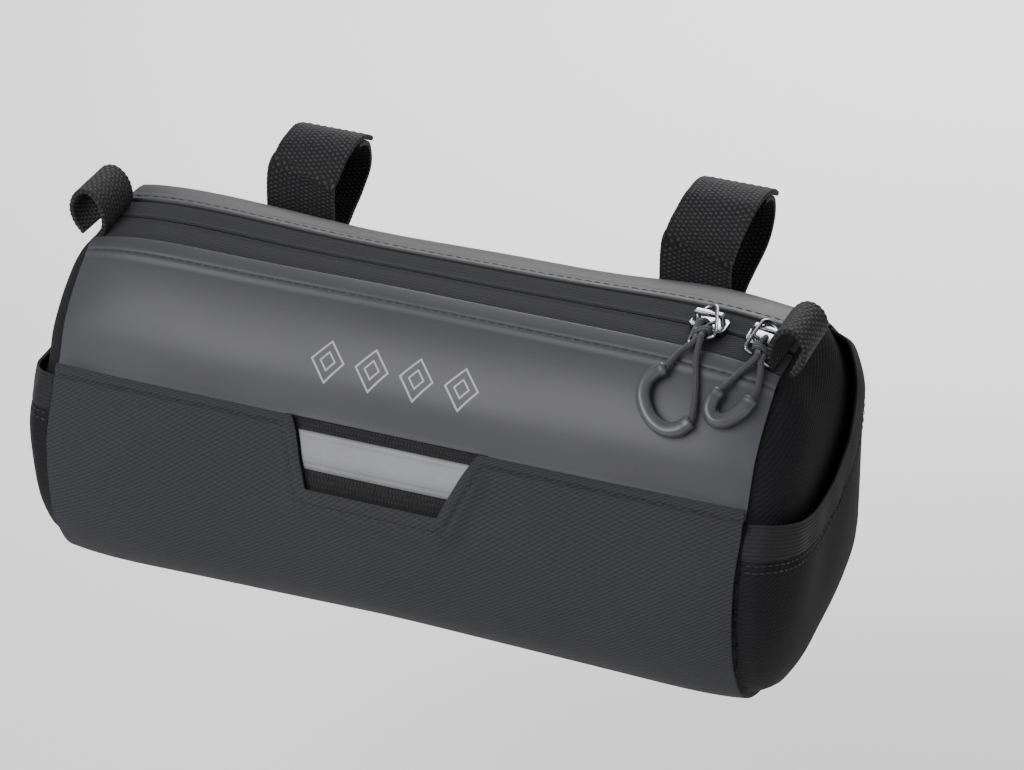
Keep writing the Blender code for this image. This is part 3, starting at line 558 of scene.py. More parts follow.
def stitch_row(name, line, outward, material, pitch, length=STITCH_LENGTH,
               thread=THREAD_WIDTH):
    """A row of stitches along a line. Each copies one stitch, modelled once."""
    run = walked(line)
    count = max(int(run[-1] / pitch), 1)
    at = (np.arange(count) + 0.5) * run[-1] / count
    places, up = read_at(at, run, line), read_at(at, run, outward)
    tangent = unit(read_at(at + 0.4 * MM, run, line) - read_at(at - 0.4 * MM, run, line))
    up = unit(up - tangent * np.sum(up * tangent, axis=1, keepdims=True))
    side = np.cross(up, tangent)
    deselect()
    bpy.ops.mesh.primitive_uv_sphere_add(segments=6, ring_count=5, radius=0.5)
    seed = bpy.context.object
    base = np.array([v.co[:] for v in seed.data.vertices])
    faces = [list(p.vertices) for p in seed.data.polygons]
    bpy.data.objects.remove(seed)
    lengthwise, wide, high = base[:, 2] * length, base[:, 0] * thread, base[:, 1] * thread
    high = high - 0.12 * MM * (2 * base[:, 2]) ** 2
    points = (places[:, None] + tangent[:, None] * lengthwise[None, :, None]
              + side[:, None] * wide[None, :, None] + up[:, None] * high[None, :, None])
    mesh = bpy.data.meshes.new(name)
    mesh.from_pydata(points.reshape(-1, 3).tolist(), [],
                     [[k + i * len(base) for k in face] for i in range(count) for face in faces])
    mesh.shade_smooth()
    piece = bpy.data.objects.new(name, mesh)
    bpy.context.scene.collection.objects.link(piece)
    return finish_piece(piece, material, "woven_cloth")


def skin_line(x, walk, out):
    """A line on the cloth with its outward directions."""
    _, _, _, outward = skin_frame(x, walk)
    return skin(x, walk, out), outward


# Materials

def linear(text):
    """Linear values of an sRGB hex colour."""
    parts = [int(text[i:i + 2], 16) / 255 for i in (1, 3, 5)]
    return [c / 12.92 if c <= 0.04045 else ((c + 0.055) / 1.055) ** 2.4 for c in parts]


def shade(colour, factor):
    return (*[c * factor for c in colour], 1.0)


def add(tree, kind, settings=(), **inputs):
    """Adds a node with its settings, and its inputs as values or links. _0 is the first input."""
    made = tree.nodes.new("ShaderNode" + kind)
    for key, value in dict(settings).items():
        setattr(made, key, value)
    for key, value in inputs.items():
        socket = made.inputs[int(key[1:]) if key.startswith("_") else key]
        if isinstance(value, bpy.types.NodeSocket):
            tree.links.new(value, socket)
        else:
            socket.default_value = value
    return made.outputs[0]


def new_material(name, roughness, metallic=0.0, sheen=0.0, gloss=0.5):
    """A material with its principled shader, and the tree it lives in."""
    made = bpy.data.materials.new(name)
    made.use_nodes = True
    shader = made.node_tree.nodes["Principled BSDF"]
    shader.inputs["Roughness"].default_value = roughness
    shader.inputs["Metallic"].default_value = metallic
    shader.inputs["Sheen Weight"].default_value = sheen
    shader.inputs["Sheen Roughness"].default_value = 0.6
    shader.inputs["Specular IOR Level"].default_value = gloss
    return made, made.node_tree, shader


def cloth_axes(tree):
    """The lengths along and around a piece, in metres, from its own map."""
    spot = tree.nodes.new("ShaderNodeUVMap")
    spot.uv_map = "cloth"
    apart = tree.nodes.new("ShaderNodeSeparateXYZ")
    tree.links.new(spot.outputs[0], apart.inputs[0])
    return spot.outputs[0], apart.outputs[0], apart.outputs[1]


def object_place(tree):
    """The place on a piece, in metres."""
    return tree.nodes.new("ShaderNodeTexCoord").outputs["Object"]


def ripple(tree, length, pitch, phase=0.0):
    """A wave from -1 to 1 along a length in metres, with a pitch in metres."""
    turn = add(tree, "Math", {"operation": "MULTIPLY_ADD"},
               _0=length, _1=2 * math.pi / pitch, _2=phase)
    return add(tree, "Math", {"operation": "SINE"}, _0=turn)


def blend_colour(tree, share, low, high):
    """A colour between two, by a share from 0 to 1."""
    ramp = tree.nodes.new("ShaderNodeValToRGB")
    ramp.color_ramp.elements[0].color = low
    ramp.color_ramp.elements[1].color = high
    tree.links.new(share, ramp.inputs[0])
    return ramp.outputs[0]


def raise_surface(tree, shader, height, distance, strength=1.0):
    normal = add(tree, "Bump", Strength=strength, Distance=distance, Height=height)
    tree.links.new(normal, shader.inputs["Normal"])


def combine(tree, operation, first, second):
    return add(tree, "Math", {"operation": operation}, _0=first, _1=second)


def mottled(tree, vector, size, detail=3.0):
    """Soft random patches from 0 to 1, of a size in metres."""
    return add(tree, "TexNoise", Vector=vector, Scale=1 / size, Detail=detail)


def coated_cloth(colour, ink=None):
    """TPU coated polyester: a smooth satin face with a faint grain, where the light pools."""
    name = "coated polyester" if ink is None else "printed coated polyester"
    made, tree, shader = new_material(name, 0.45)
    spot, along, around = cloth_axes(tree)
    # The grain is 0.9 mm across, coarser than the real coating's, so that it shows
    grain = mottled(tree, spot, 0.9 * MM, 4.0)
    patches = mottled(tree, spot, 38 * MM)
    tone = add(tree, "Math", {"operation": "MULTIPLY_ADD"},
               _0=grain, _1=0.25, _2=combine(tree, "MULTIPLY", patches, 0.75))
    base = blend_colour(tree, tone, shade(colour, 0.78), shade(colour, 1.22))
    if ink is not None:
        worn = combine(tree, "MULTIPLY", printed_row(tree, along, around),
                       add(tree, "MapRange", Value=grain, _3=0.6, _4=0.95))
        base = add(tree, "MixRGB", _0=worn, _1=base, _2=(*ink, 1.0))
    tree.links.new(base, shader.inputs["Base Color"])
    rough = add(tree, "MapRange", Value=patches, _3=0.46, _4=0.60)
    tree.links.new(rough, shader.inputs["Roughness"])
    raise_surface(tree, shader, grain, 0.05 * MM, 0.6)
    return made


def twill_height(tree, across, along, pitch):
    """The height of a twill: ribs that climb at TWILL_SLOPE, cut into short floats."""
    climb = combine(tree, "SUBTRACT", combine(tree, "MULTIPLY", along, math.cos(TWILL_SLOPE)),
                    combine(tree, "MULTIPLY", across, math.sin(TWILL_SLOPE)))
    run = combine(tree, "ADD", combine(tree, "MULTIPLY", across, math.cos(TWILL_SLOPE)),
                  combine(tree, "MULTIPLY", along, math.sin(TWILL_SLOPE)))
    ribs = ripple(tree, climb, pitch)
    floats = ripple(tree, combine(tree, "ADD", run, climb), 1.9 * pitch)
    both = combine(tree, "ADD", ribs, combine(tree, "MULTIPLY", floats, 0.45))
    return add(tree, "MapRange", Value=both, _1=-1.45, _2=1.45)


def woven_cloth(name, colour, pitch, contrast, depth, roughness=0.82):
    """Woven polyester: matte, with slanted ribs of yarn and hardly any gloss."""
    made, tree, shader = new_material(name, roughness, gloss=0.15)
    spot, along, around = cloth_axes(tree)
    weave = twill_height(tree, along, around, pitch)
    uneven = mottled(tree, spot, 1.6 * MM, 2.0)
    patches = mottled(tree, spot, 45 * MM)
    yarn = combine(tree, "MULTIPLY", weave, add(tree, "MapRange", Value=uneven, _3=0.7, _4=1.3))
    tone = combine(tree, "ADD", combine(tree, "MULTIPLY", yarn, 0.75),
                   combine(tree, "MULTIPLY", patches, 0.25))
    base = blend_colour(tree, tone, shade(colour, 1 - contrast), shade(colour, 1 + contrast))
    tree.links.new(base, shader.inputs["Base Color"])
    raise_surface(tree, shader, yarn, depth, 0.9)
    return made


def printed_row(tree, along, around):
    """Outlined diamonds in a level row, each with a smaller one inside."""
    mark = None
    for k in range(PRINT_COUNT):
        middle = (k - (PRINT_COUNT - 1) / 2) * PRINT_PITCH
        off = [add(tree, "Math", {"operation": "ABSOLUTE"},
                   _0=combine(tree, "SUBTRACT", run, place))
               for run, place in ((along, middle), (around, PRINT_RISE))]
        reach = combine(tree, "ADD", *off)
        sizes = (PRINT_REACH, PRINT_LINE), (0.45 * PRINT_REACH, PRINT_CORE)
        line, core = (add(tree, "Math", {"operation": "COMPARE"}, _0=reach, _1=size, _2=half)
                      for size, half in sizes)
        both = combine(tree, "MAXIMUM", line, core)
        mark = both if mark is None else combine(tree, "MAXIMUM", mark, both)
    return mark


def webbing_cloth(name, colour, pitch, flecks=0.55, depth=0.25 * MM):
    """Nylon webbing: dull black ribs of yarn in staggered dashes, with pale flecks painted on the
    ribs' crowns as highlights.
    """
    made, tree, shader = new_material(name, 0.78, sheen=0.03, gloss=0.3)
    spot, along, across = cloth_axes(tree)
    # Dashes are a yarn wide and one rib long, and each row is half a rib on
    row = add(tree, "Math", {"operation": "FLOOR"}, _0=combine(tree, "DIVIDE", across, YARN))
    odd = add(tree, "Math", {"operation": "PINGPONG"}, _0=row, _1=1.0)
    shift = combine(tree, "MULTIPLY", odd, pitch / 2)
    dashes = ripple(tree, combine(tree, "ADD", along, shift), pitch)
    strands = combine(tree, "MULTIPLY", ripple(tree, across, YARN, math.pi / 2), 0.5)
    height = add(tree, "MapRange", Value=combine(tree, "SUBTRACT", dashes, strands),
                 _1=-1.5, _2=1.5)
    fuzz = mottled(tree, spot, 0.5 * MM, 2.0)
    # Painted highlight: pale flecks, up to eight times as bright as the rest, where the mottle is
    # high on the ribs' crowns
    painted_glint = add(tree, "MapRange", Value=combine(tree, "MULTIPLY", fuzz, height),
                _1=0.30, _2=0.50, _3=0.0, _4=flecks)
    base = blend_colour(tree, painted_glint, shade(colour, 0.5), shade(colour, 8.0))
    tree.links.new(base, shader.inputs["Base Color"])
    raise_surface(tree, shader, height, depth, 0.8)
    return made


def elastic_cloth(colour):
    """Knitted elastic: dull ribs along the mouth with a fine cross stitch."""
    made, tree, shader = new_material("knitted elastic", 0.75, sheen=0.03, gloss=0.3)
    _, along, across = cloth_axes(tree)
    slant = combine(tree, "ADD", along, combine(tree, "MULTIPLY", across, 0.5))
    stitch = ripple(tree, slant, 1.1 * MM)
    ribs = ripple(tree, across, BAND_RIB)
    both = combine(tree, "ADD", ribs, combine(tree, "MULTIPLY", stitch, 0.4))
    height = add(tree, "MapRange", Value=both, _1=-1.4, _2=1.4)
    base = blend_colour(tree, height, shade(colour, 0.6), shade(colour, 1.7))
    tree.links.new(base, shader.inputs["Base Color"])
    raise_surface(tree, shader, height, 0.12 * MM, 0.7)
    return made


def reflective_film(colour):
    """Glass bead film on cloth: flat silver grey with a fine sandy grain."""
    made, tree, shader = new_material("glass bead film", 0.5)
    shader.inputs["Metallic"].default_value = 0.35
    spot, _, _ = cloth_axes(tree)
    beads = mottled(tree, spot, 0.45 * MM, 3.0)
    streaks = mottled(tree, spot, 9 * MM, 2.0)
    tone = combine(tree, "ADD", combine(tree, "MULTIPLY", beads, 0.6),
                   combine(tree, "MULTIPLY", streaks, 0.4))
    base = blend_colour(tree, tone, shade(colour, 0.7), shade(colour, 1.3))
    tree.links.new(base, shader.inputs["Base Color"])
    raise_surface(tree, shader, beads, 0.04 * MM, 0.5)
    return made


def plated_metal(colour):
    """Zinc alloy plated in black nickel: dark, with sharp bright glints and worn corners."""
    made, tree, shader = new_material("black nickel plate", 0.2, metallic=1.0)
    spot = object_place(tree)
    wear = mottled(tree, spot, 2.2 * MM, 4.0)
    base = blend_colour(tree, wear, shade(colour, 0.8), shade(colour, 1.35))
    tree.links.new(base, shader.inputs["Base Color"])
    rough = add(tree, "MapRange", Value=wear, _3=0.12, _4=0.3)
    tree.links.new(rough, shader.inputs["Roughness"])
    return made


def braided_cord(name, colour):
    """Braided polyester: a diamond of crossing strands 0.7 mm apart, with painted highlights: pale
    glints on the strands' crowns.
    """
    made, tree, shader = new_material(name, 0.7, sheen=0.1)
    _, along, around = cloth_axes(tree)
    one = ripple(tree, combine(tree, "ADD", along, around), 1.25 * MM)
    other = ripple(tree, combine(tree, "SUBTRACT", along, around), 1.25 * MM)
    both = combine(tree, "MULTIPLY", one, other)
    height = add(tree, "MapRange", Value=both, _1=-1.0, _2=1.0)
    # Painted shade and highlight: darker in the braid's hollows, seven times brighter on the
    # strands' crowns
    base = blend_colour(tree, height, shade(colour, 0.4), shade(colour, 7.0))
    tree.links.new(base, shader.inputs["Base Color"])
    raise_surface(tree, shader, height, 0.15 * MM, 0.9)
    return made


def moulded_rubber(colour):
    """Moulded soft rubber: dark grey with an even satin sheen and a faint bloom."""
    made, tree, shader = new_material("moulded rubber", 0.36)
    spot = object_place(tree)
    bloom = mottled(tree, spot, 5 * MM)
    base = blend_colour(tree, bloom, shade(colour, 0.85), shade(colour, 1.2))
    tree.links.new(base, shader.inputs["Base Color"])
    skin_grain = mottled(tree, spot, 0.25 * MM, 2.0)
    raise_surface(tree, shader, skin_grain, 0.02 * MM, 0.4)
    return made


def spun_thread(colour):
    """Bonded polyester thread: twisted, a little shinier than the cloth."""
    made, tree, shader = new_material("bonded thread", 0.55, sheen=0.1)
    spot = object_place(tree)
    twist = mottled(tree, spot, 0.4 * MM, 1.0)
    base = blend_colour(tree, twist, shade(colour, 0.7), shade(colour, 1.5))
    tree.links.new(base, shader.inputs["Base Color"])
    return made


# Settings

def colour_setting(name, description, text):
    return FloatVectorProperty(name=name, description=description, subtype="COLOR", size=3,
                               default=linear(text), min=0.0, max=1.0)


def length_setting(name, description, default):
    return FloatProperty(name=name, description=description, default=default, unit="LENGTH",
                         min=0.0, precision=5)


def power_setting(name, description, default):
    return FloatProperty(name=name, description=description, default=default, subtype="POWER",
                         min=0.0)


class BagClothSettings(bpy.types.PropertyGroup):
    coated: colour_setting("Coated cloth", "Colour of the smooth upper front", "#3a3a3e")
    # The rear top is the coated cloth in a darker colour: painted shade for the upward-facing top
    # behind the zip
    rear: colour_setting("Rear top cloth", "Colour of the top behind the zip", "#27272a")
    woven: colour_setting("Woven cloth", "Colour of the woven lower front", "#313134")
    ends: colour_setting("End cloth", "Colour of the ends and pockets", "#19191b")
    tape: colour_setting("Zip cloth", "Colour of the zip tapes", "#2b2b2e")
    ink: colour_setting("Print", "Colour of the small print", "#a9a9ac")
    weave: length_setting("Weave pitch", "Distance between the slanted ribs of yarn", 1.15 * MM)


class BagWebbingSettings(bpy.types.PropertyGroup):
    webbing: colour_setting("Webbing", "Colour of the straps and loops", "#19191b")
    elastic: colour_setting("Elastic", "Colour of the pocket bands", "#161618")
    film: colour_setting("Film", "Colour of the reflective strip", "#68686d")
    rib: length_setting("Rib pitch", "Distance between the webbing's ribs", 1.5 * MM)
    relief: length_setting("Rib height", "How far the webbing's ribs stand up", 0.26 * MM)


class BagFittingSettings(bpy.types.PropertyGroup):
    metal: colour_setting("Metal", "Colour of the sliders and tabs", "#9a9a9f")
    rubber: colour_setting("Rubber", "Colour of the grips", "#434347")
    cord: colour_setting("Cord", "Colour of the pull cords", "#161618")
    thread: colour_setting("Thread", "Colour of the stitches", "#101012")
    pitch: length_setting("Stitch pitch", "Distance between stitches", 3.2 * MM)


class BagStageSettings(bpy.types.PropertyGroup):
    floor: colour_setting("Floor", "Colour of the floor", "#efefee")
    key: power_setting("Key light", "Power of the large soft light", 30.0)
    fill: power_setting("Fill light", "Power of the fill light", 2.2)
    rear: power_setting("Rear light", "Power of the light behind", 1.0)
    backdrop: power_setting("Backdrop light", "Power of the lamp over the floor behind", 18.0)


# Pieces

def spaced(start, end, count):
    return np.linspace(start, end, count + 1)


def along_bag(count):
    """Places along the bag, closer together near its ends."""
    share = np.linspace(-1, 1, count + 1)
    return HALF * np.sign(share) * (1 - (1 - np.abs(share)) ** 1.35)


def window_depth(x):
    slope = (WINDOW_TOP / 2 - np.abs(x)) / (WINDOW_TOP / 2 - WINDOW_BOTTOM / 2)
    return WINDOW_DROP * np.clip(slope, 0.0, 1.0)


def hem_distance(x, drop):
    """Distance from the lower front's hem to points, drop below the hem's line."""
    x = np.abs(x)
    corners = ((HALF, 0.0), (WINDOW_TOP / 2, 0.0), (WINDOW_BOTTOM / 2, WINDOW_DROP),
               (0.0, WINDOW_DROP))
    nearest = np.full(np.shape(x), BAG_LENGTH)
    for (x1, d1), (x2, d2) in zip(corners, corners[1:]):
        run_x, run_d = x2 - x1, d2 - d1
        share = np.clip(((x - x1) * run_x + (drop - d1) * run_d) / (run_x ** 2 + run_d ** 2), 0, 1)
        nearest = np.minimum(nearest, np.hypot(x - x1 - run_x * share, drop - d1 - run_d * share))
    return nearest


def hem_rise(x, drop):
    """The folded hem stands over the upper front, dips at its stitches and fades below."""
    off = hem_distance(x, drop)
    step = (CLOTH + GAP) * (1 - smooth_step((off - HEM_WIDTH) / HEM_BLEND))
    fold = 0.4 * MM * bump(off - 1.9 * MM, 1.3 * MM)
    return step + fold - 0.6 * MM * bump(off - HEM_WIDTH * 0.9, 0.6 * MM)


def lower_rise(x, walk):
    return hem_rise(x, OUTLINE.length - walk)


def front_rise(_, walk):
    """The upper front's folded top edge lies over the zip tape."""
    down = NAMED["front_fold"] + FOLD_LAP - walk
    strip = (0.75 * MM) * (1 - smooth_step((down - FOLD_STRIP) / (3 * MM)))
    return strip - 0.4 * MM * bump(down - FOLD_STRIP, 0.6 * MM)


def rear_rise(_, walk):
    """The rear top's edge laps over the zip tape."""
    down = walk - NAMED["rear_seam"] + FOLD_LAP
    lap = 0.6 * MM * (1 - smooth_step((down - 3 * MM) / (3 * MM)))
    return lap - 0.25 * MM * bump(down - 2.6 * MM, 0.6 * MM)


def tape_rise(edge):
    """A tape's lip stands up a little at the slit, and its sewn edge dips under the cloth."""
    def rise(_, walk):
        off = np.abs(walk - NAMED["zip"])
        lip = 0.35 * MM * bump(off - 1.1 * MM, 1.1 * MM) - 0.5 * MM * bump(off, 0.5 * MM)
        return lip - 0.9 * MM * bump(walk - edge, 3 * MM)
    return rise


class BAG_OT_main_cloth(bpy.types.Operator):
    """Makes the front, back, top and zip tapes"""
    bl_idname = "bag.main_cloth"
    bl_label = "Main cloth"

    def execute(self, context):
        cloth = context.scene.bag_cloth
        # The rear top's darker colour is painted shade on the same coated cloth as the front
        coated = coated_cloth(cloth.rear)
        woven = woven_cloth("woven polyester", cloth.woven, cloth.weave, 0.32, 0.22 * MM)
        printed = coated_cloth(cloth.coated, cloth.ink)
        tape = woven_cloth("zip twill", cloth.tape, 0.95 * MM, 0.25, 0.15 * MM)
        self.front(printed)
        self.lower(woven)
        xs = along_bag(120)
        back_top, back_bottom = NAMED["back_top"], NAMED["back_bottom"]
        front_edge, rear_edge = NAMED["front_fold"] - TAPE_HOLD, NAMED["rear_seam"] + TAPE_HOLD
        for name, start, end, rows, rise, material, slot in (
                ("back_panel", back_top + GAP / 2, back_bottom - GAP / 2, 50,
                 lambda x, walk: 0.0, woven, "woven_cloth"),
                ("rear_top_panel", NAMED["rear_seam"] - FOLD_LAP, back_top - GAP / 2, 44,
                 rear_rise, coated, "coated_cloth"),
                ("zip_tape_front", front_edge, NAMED["zip"] - ZIP_SLIT / 2, 26,
                 tape_rise(front_edge), tape, "zip_cloth"),
                ("zip_tape_rear", NAMED["zip"] + ZIP_SLIT / 2, rear_edge, 26,
                 tape_rise(rear_edge), tape, "zip_cloth")):
            walks = np.broadcast_to(spaced(start, end, rows), (len(xs), rows + 1))
            panel(name, xs, walks, rise, material, slot)
        return {"FINISHED"}

    def front(self, material):
        xs = along_bag(150)
        step = WINDOW_TOP / 2 + WINDOW_MARGIN + GAP
        beside = np.array([-step - 0.2 * MM, -step, step, step + 0.2 * MM])
        xs = np.sort(np.concatenate([xs[np.abs(np.abs(xs) - step) > 1.2 * MM], beside]))
        top = NAMED["front_fold"] + FOLD_LAP
        rows = np.concatenate([spaced(HEM_WIDTH, top - 2 * FOLD_STRIP, 20)[:-1],
                               spaced(top - 2 * FOLD_STRIP, top, 24)])
        low = np.where(np.abs(xs) > step + 0.1 * MM, -3.5 * MM, 0.0)
        lead = low[:, None] + (HEM_WIDTH - low[:, None]) * np.linspace(0, 1, 6)[None, :-1]
        walks = np.concatenate([lead, np.broadcast_to(rows, (len(xs), len(rows)))], axis=1)
        panel("front_panel", xs, walks, front_rise, material, "coated_cloth")

    def lower(self, material):
        half_top, half_bottom = WINDOW_TOP / 2, WINDOW_BOTTOM / 2
        middle = spaced(-half_bottom, half_bottom, 34)
        slope = spaced(half_bottom, half_top, 14)[1:]
        beside = half_top + np.array([0.8, 1.6, 2.4, 3.4, 4.6, 6.0, 8.0]) * MM
        share = 1 - (1 - np.linspace(0, 1, 46)[1:]) ** 1.3
        rest = mix(beside[-1], HALF, share)
        right = np.concatenate([slope, beside, rest])
        xs = np.concatenate([-right[::-1], middle, right])
        bottom = NAMED["back_bottom"] + GAP / 2
        # Rows of points lie close together over the hem and its stitch groove
        rows = np.array([0, 0.5, 1.1, 1.7, 2.3, 2.9, 3.3, 3.7, 4.0, 4.3, 4.7, 5.2, 6, 7, 8.2, 9.6,
                         11, 13, 15.5, 18.5, 22, 26]) * MM
        depth = window_depth(xs)[:, None]
        top = OUTLINE.length - depth
        near = top - rows[None, :]
        far = near[:, -1:] + (bottom - near[:, -1:]) * np.linspace(0, 1, 71)[None, 1:]
        walks = np.concatenate([near, far], axis=1)[:, ::-1]
        panel("lower_panel", xs, walks, lower_rise, material, "woven_cloth")


class BAG_OT_window(bpy.types.Operator):
    """Makes the ribbed webbing and the reflective strip in the window"""
    bl_idname = "bag.window"
    bl_label = "Window"

    def execute(self, context):
        webbing = context.scene.bag_webbing
        drops = spaced(-GAP, -WINDOW_DROP - WINDOW_MARGIN, 26)
        down = np.minimum(-drops / WINDOW_DROP, 1.0)
        reach = mix(WINDOW_TOP / 2, WINDOW_BOTTOM / 2, down) + WINDOW_MARGIN
        share = np.linspace(-1, 1, 337)
        x = share[:, None] * reach[None, :]
        walks = np.broadcast_to(drops, x.shape)
        ribs = 0.22 * MM * np.abs(np.sin(np.pi * x / LIGHT_RIB))
        ribs = ribs * (1 - 0.25 * np.sin(np.pi * walks / (1.1 * MM)))
        bulge = 0.25 * MM * np.cos(np.pi * x / WINDOW_TOP)
        sag = 0.14 * MM * np.sin(2 * np.pi * walks / WINDOW_DROP) * np.cos(2.3 * x / WINDOW_TOP)
        points = skin(x, walks, -WINDOW_INSET + ribs + bulge - 0.3 * MM + sag)
        points, walks, x = points[:, ::-1], walks[:, ::-1], x[:, ::-1]
        piece = grid_piece("light_webbing", points, np.stack([x, walks], axis=-1))
        cloth_wall(piece, 1.1 * MM, 0.2 * MM)
        # Its pale flecks are the same painted highlights as on the straps, fainter
        fine = webbing_cloth("light loop webbing", webbing.webbing, 1.1 * MM, 0.2, 0.1 * MM)
        finish_piece(piece, fine, "webbing", "light_webbing")
        self.strip(reflective_film(webbing.film))
        return {"FINISHED"}

    def strip(self, film):
        drops = spaced(-STRIP_DROP, -STRIP_DROP - STRIP_WIDTH, 22)
        reach = mix(WINDOW_TOP / 2, WINDOW_BOTTOM / 2, -drops / WINDOW_DROP) - GAP
        share = np.linspace(-1, 1, 121)
        x = share[:, None] * reach[None, :]
        walks = np.broadcast_to(drops, x.shape)
        off = np.minimum(drops - drops[-1], drops[0] - drops)[None, :]
        edge = -0.25 * MM * bump(off, 0.7 * MM) - 0.12 * MM * bump(off - 1.6 * MM, 0.35 * MM)
        bulge = 0.25 * MM * np.cos(np.pi * x / WINDOW_TOP)
        waves = 0.08 * MM * np.sin(x / (4.3 * MM)) * np.cos(walks / (3.1 * MM))
        points = skin(x, walks, -WINDOW_INSET + GAP + STRIP_THICKNESS + bulge + edge + waves)
        uv = np.stack([x, walks], axis=-1)
        piece = grid_piece("reflective_strip", points[:, ::-1], uv[:, ::-1])
        cloth_wall(piece, STRIP_THICKNESS, 0.1 * MM)
        finish_piece(piece, film, "reflective_film", "reflective_strip")


def end_ring():
    """The end seam's inset outline as angles round its middle with a radius each."""
    y, z, _, _, out_y, out_z = OUTLINE.at(np.linspace(0, OUTLINE.length, 513)[:-1])
    y, z = y - out_y * END_INSET - END_CENTRE[0], z - out_z * END_INSET - END_CENTRE[1]
    angle = np.arctan2(z, y)
    order = np.argsort(angle)
    return angle[order], np.hypot(y, z)[order]


RING_ANGLES, RING_RADII = end_ring()


def end_share(y, z):
    """How far out from an end wall's middle points lie, 1 at its seam."""
    y, z = y - END_CENTRE[0], z - END_CENTRE[1]
    radius = np.interp(np.arctan2(z, y), RING_ANGLES, RING_RADII, period=2 * math.pi)
    return np.hypot(y, z) / radius


def end_reach(share):
    return END_PUFF * (1 - np.minimum(share, 1.0) ** END_POWER) - END_RECESS


def end_point(side, y, z, out):
    """Points out from an end wall, square to its puffed face."""
    step = 0.5 * MM
    slope_y = (end_reach(end_share(y + step, z)) - end_reach(end_share(y - step, z))) / (2 * step)
    slope_z = (end_reach(end_share(y, z + step)) - end_reach(end_share(y, z - step))) / (2 * step)
    normal = unit(np.stack([np.ones_like(slope_y), -slope_y, -slope_z], axis=-1))
    points = np.stack([HALF + end_reach(end_share(y, z)), y, z], axis=-1)
    points = points + normal * np.asarray(out)[..., None]
    points[..., 0] *= side
    return points


def held_inside(y, z, limit):
    """Places on an end wall, drawn in to the limit share of its reach."""
    pull = np.minimum(limit / np.maximum(end_share(y, z), 1e-6), 1.0)
    return mix(END_CENTRE[0], y, pull), mix(END_CENTRE[1], z, pull)


def mouth_lines(count):
    rows = np.array(MOUTH)
    top = np.column_stack([back_to_y(rows[:, 0]), up_to_z(rows[:, 1])])
    foot = top + rows[:, 2:] * BAND_WIDTH
    both = open_curve(np.hstack([top, foot]), 12)
    both = read_at(np.linspace(0, len(both) - 1, count + 1), np.arange(len(both)), both)
    return both[:, :2], both[:, 2:]


def one_sided(side, *grids):
    """Grids turned so that their faces look out of the bag's end."""
    return [grid[::-1] for grid in grids] if side > 0 else grids


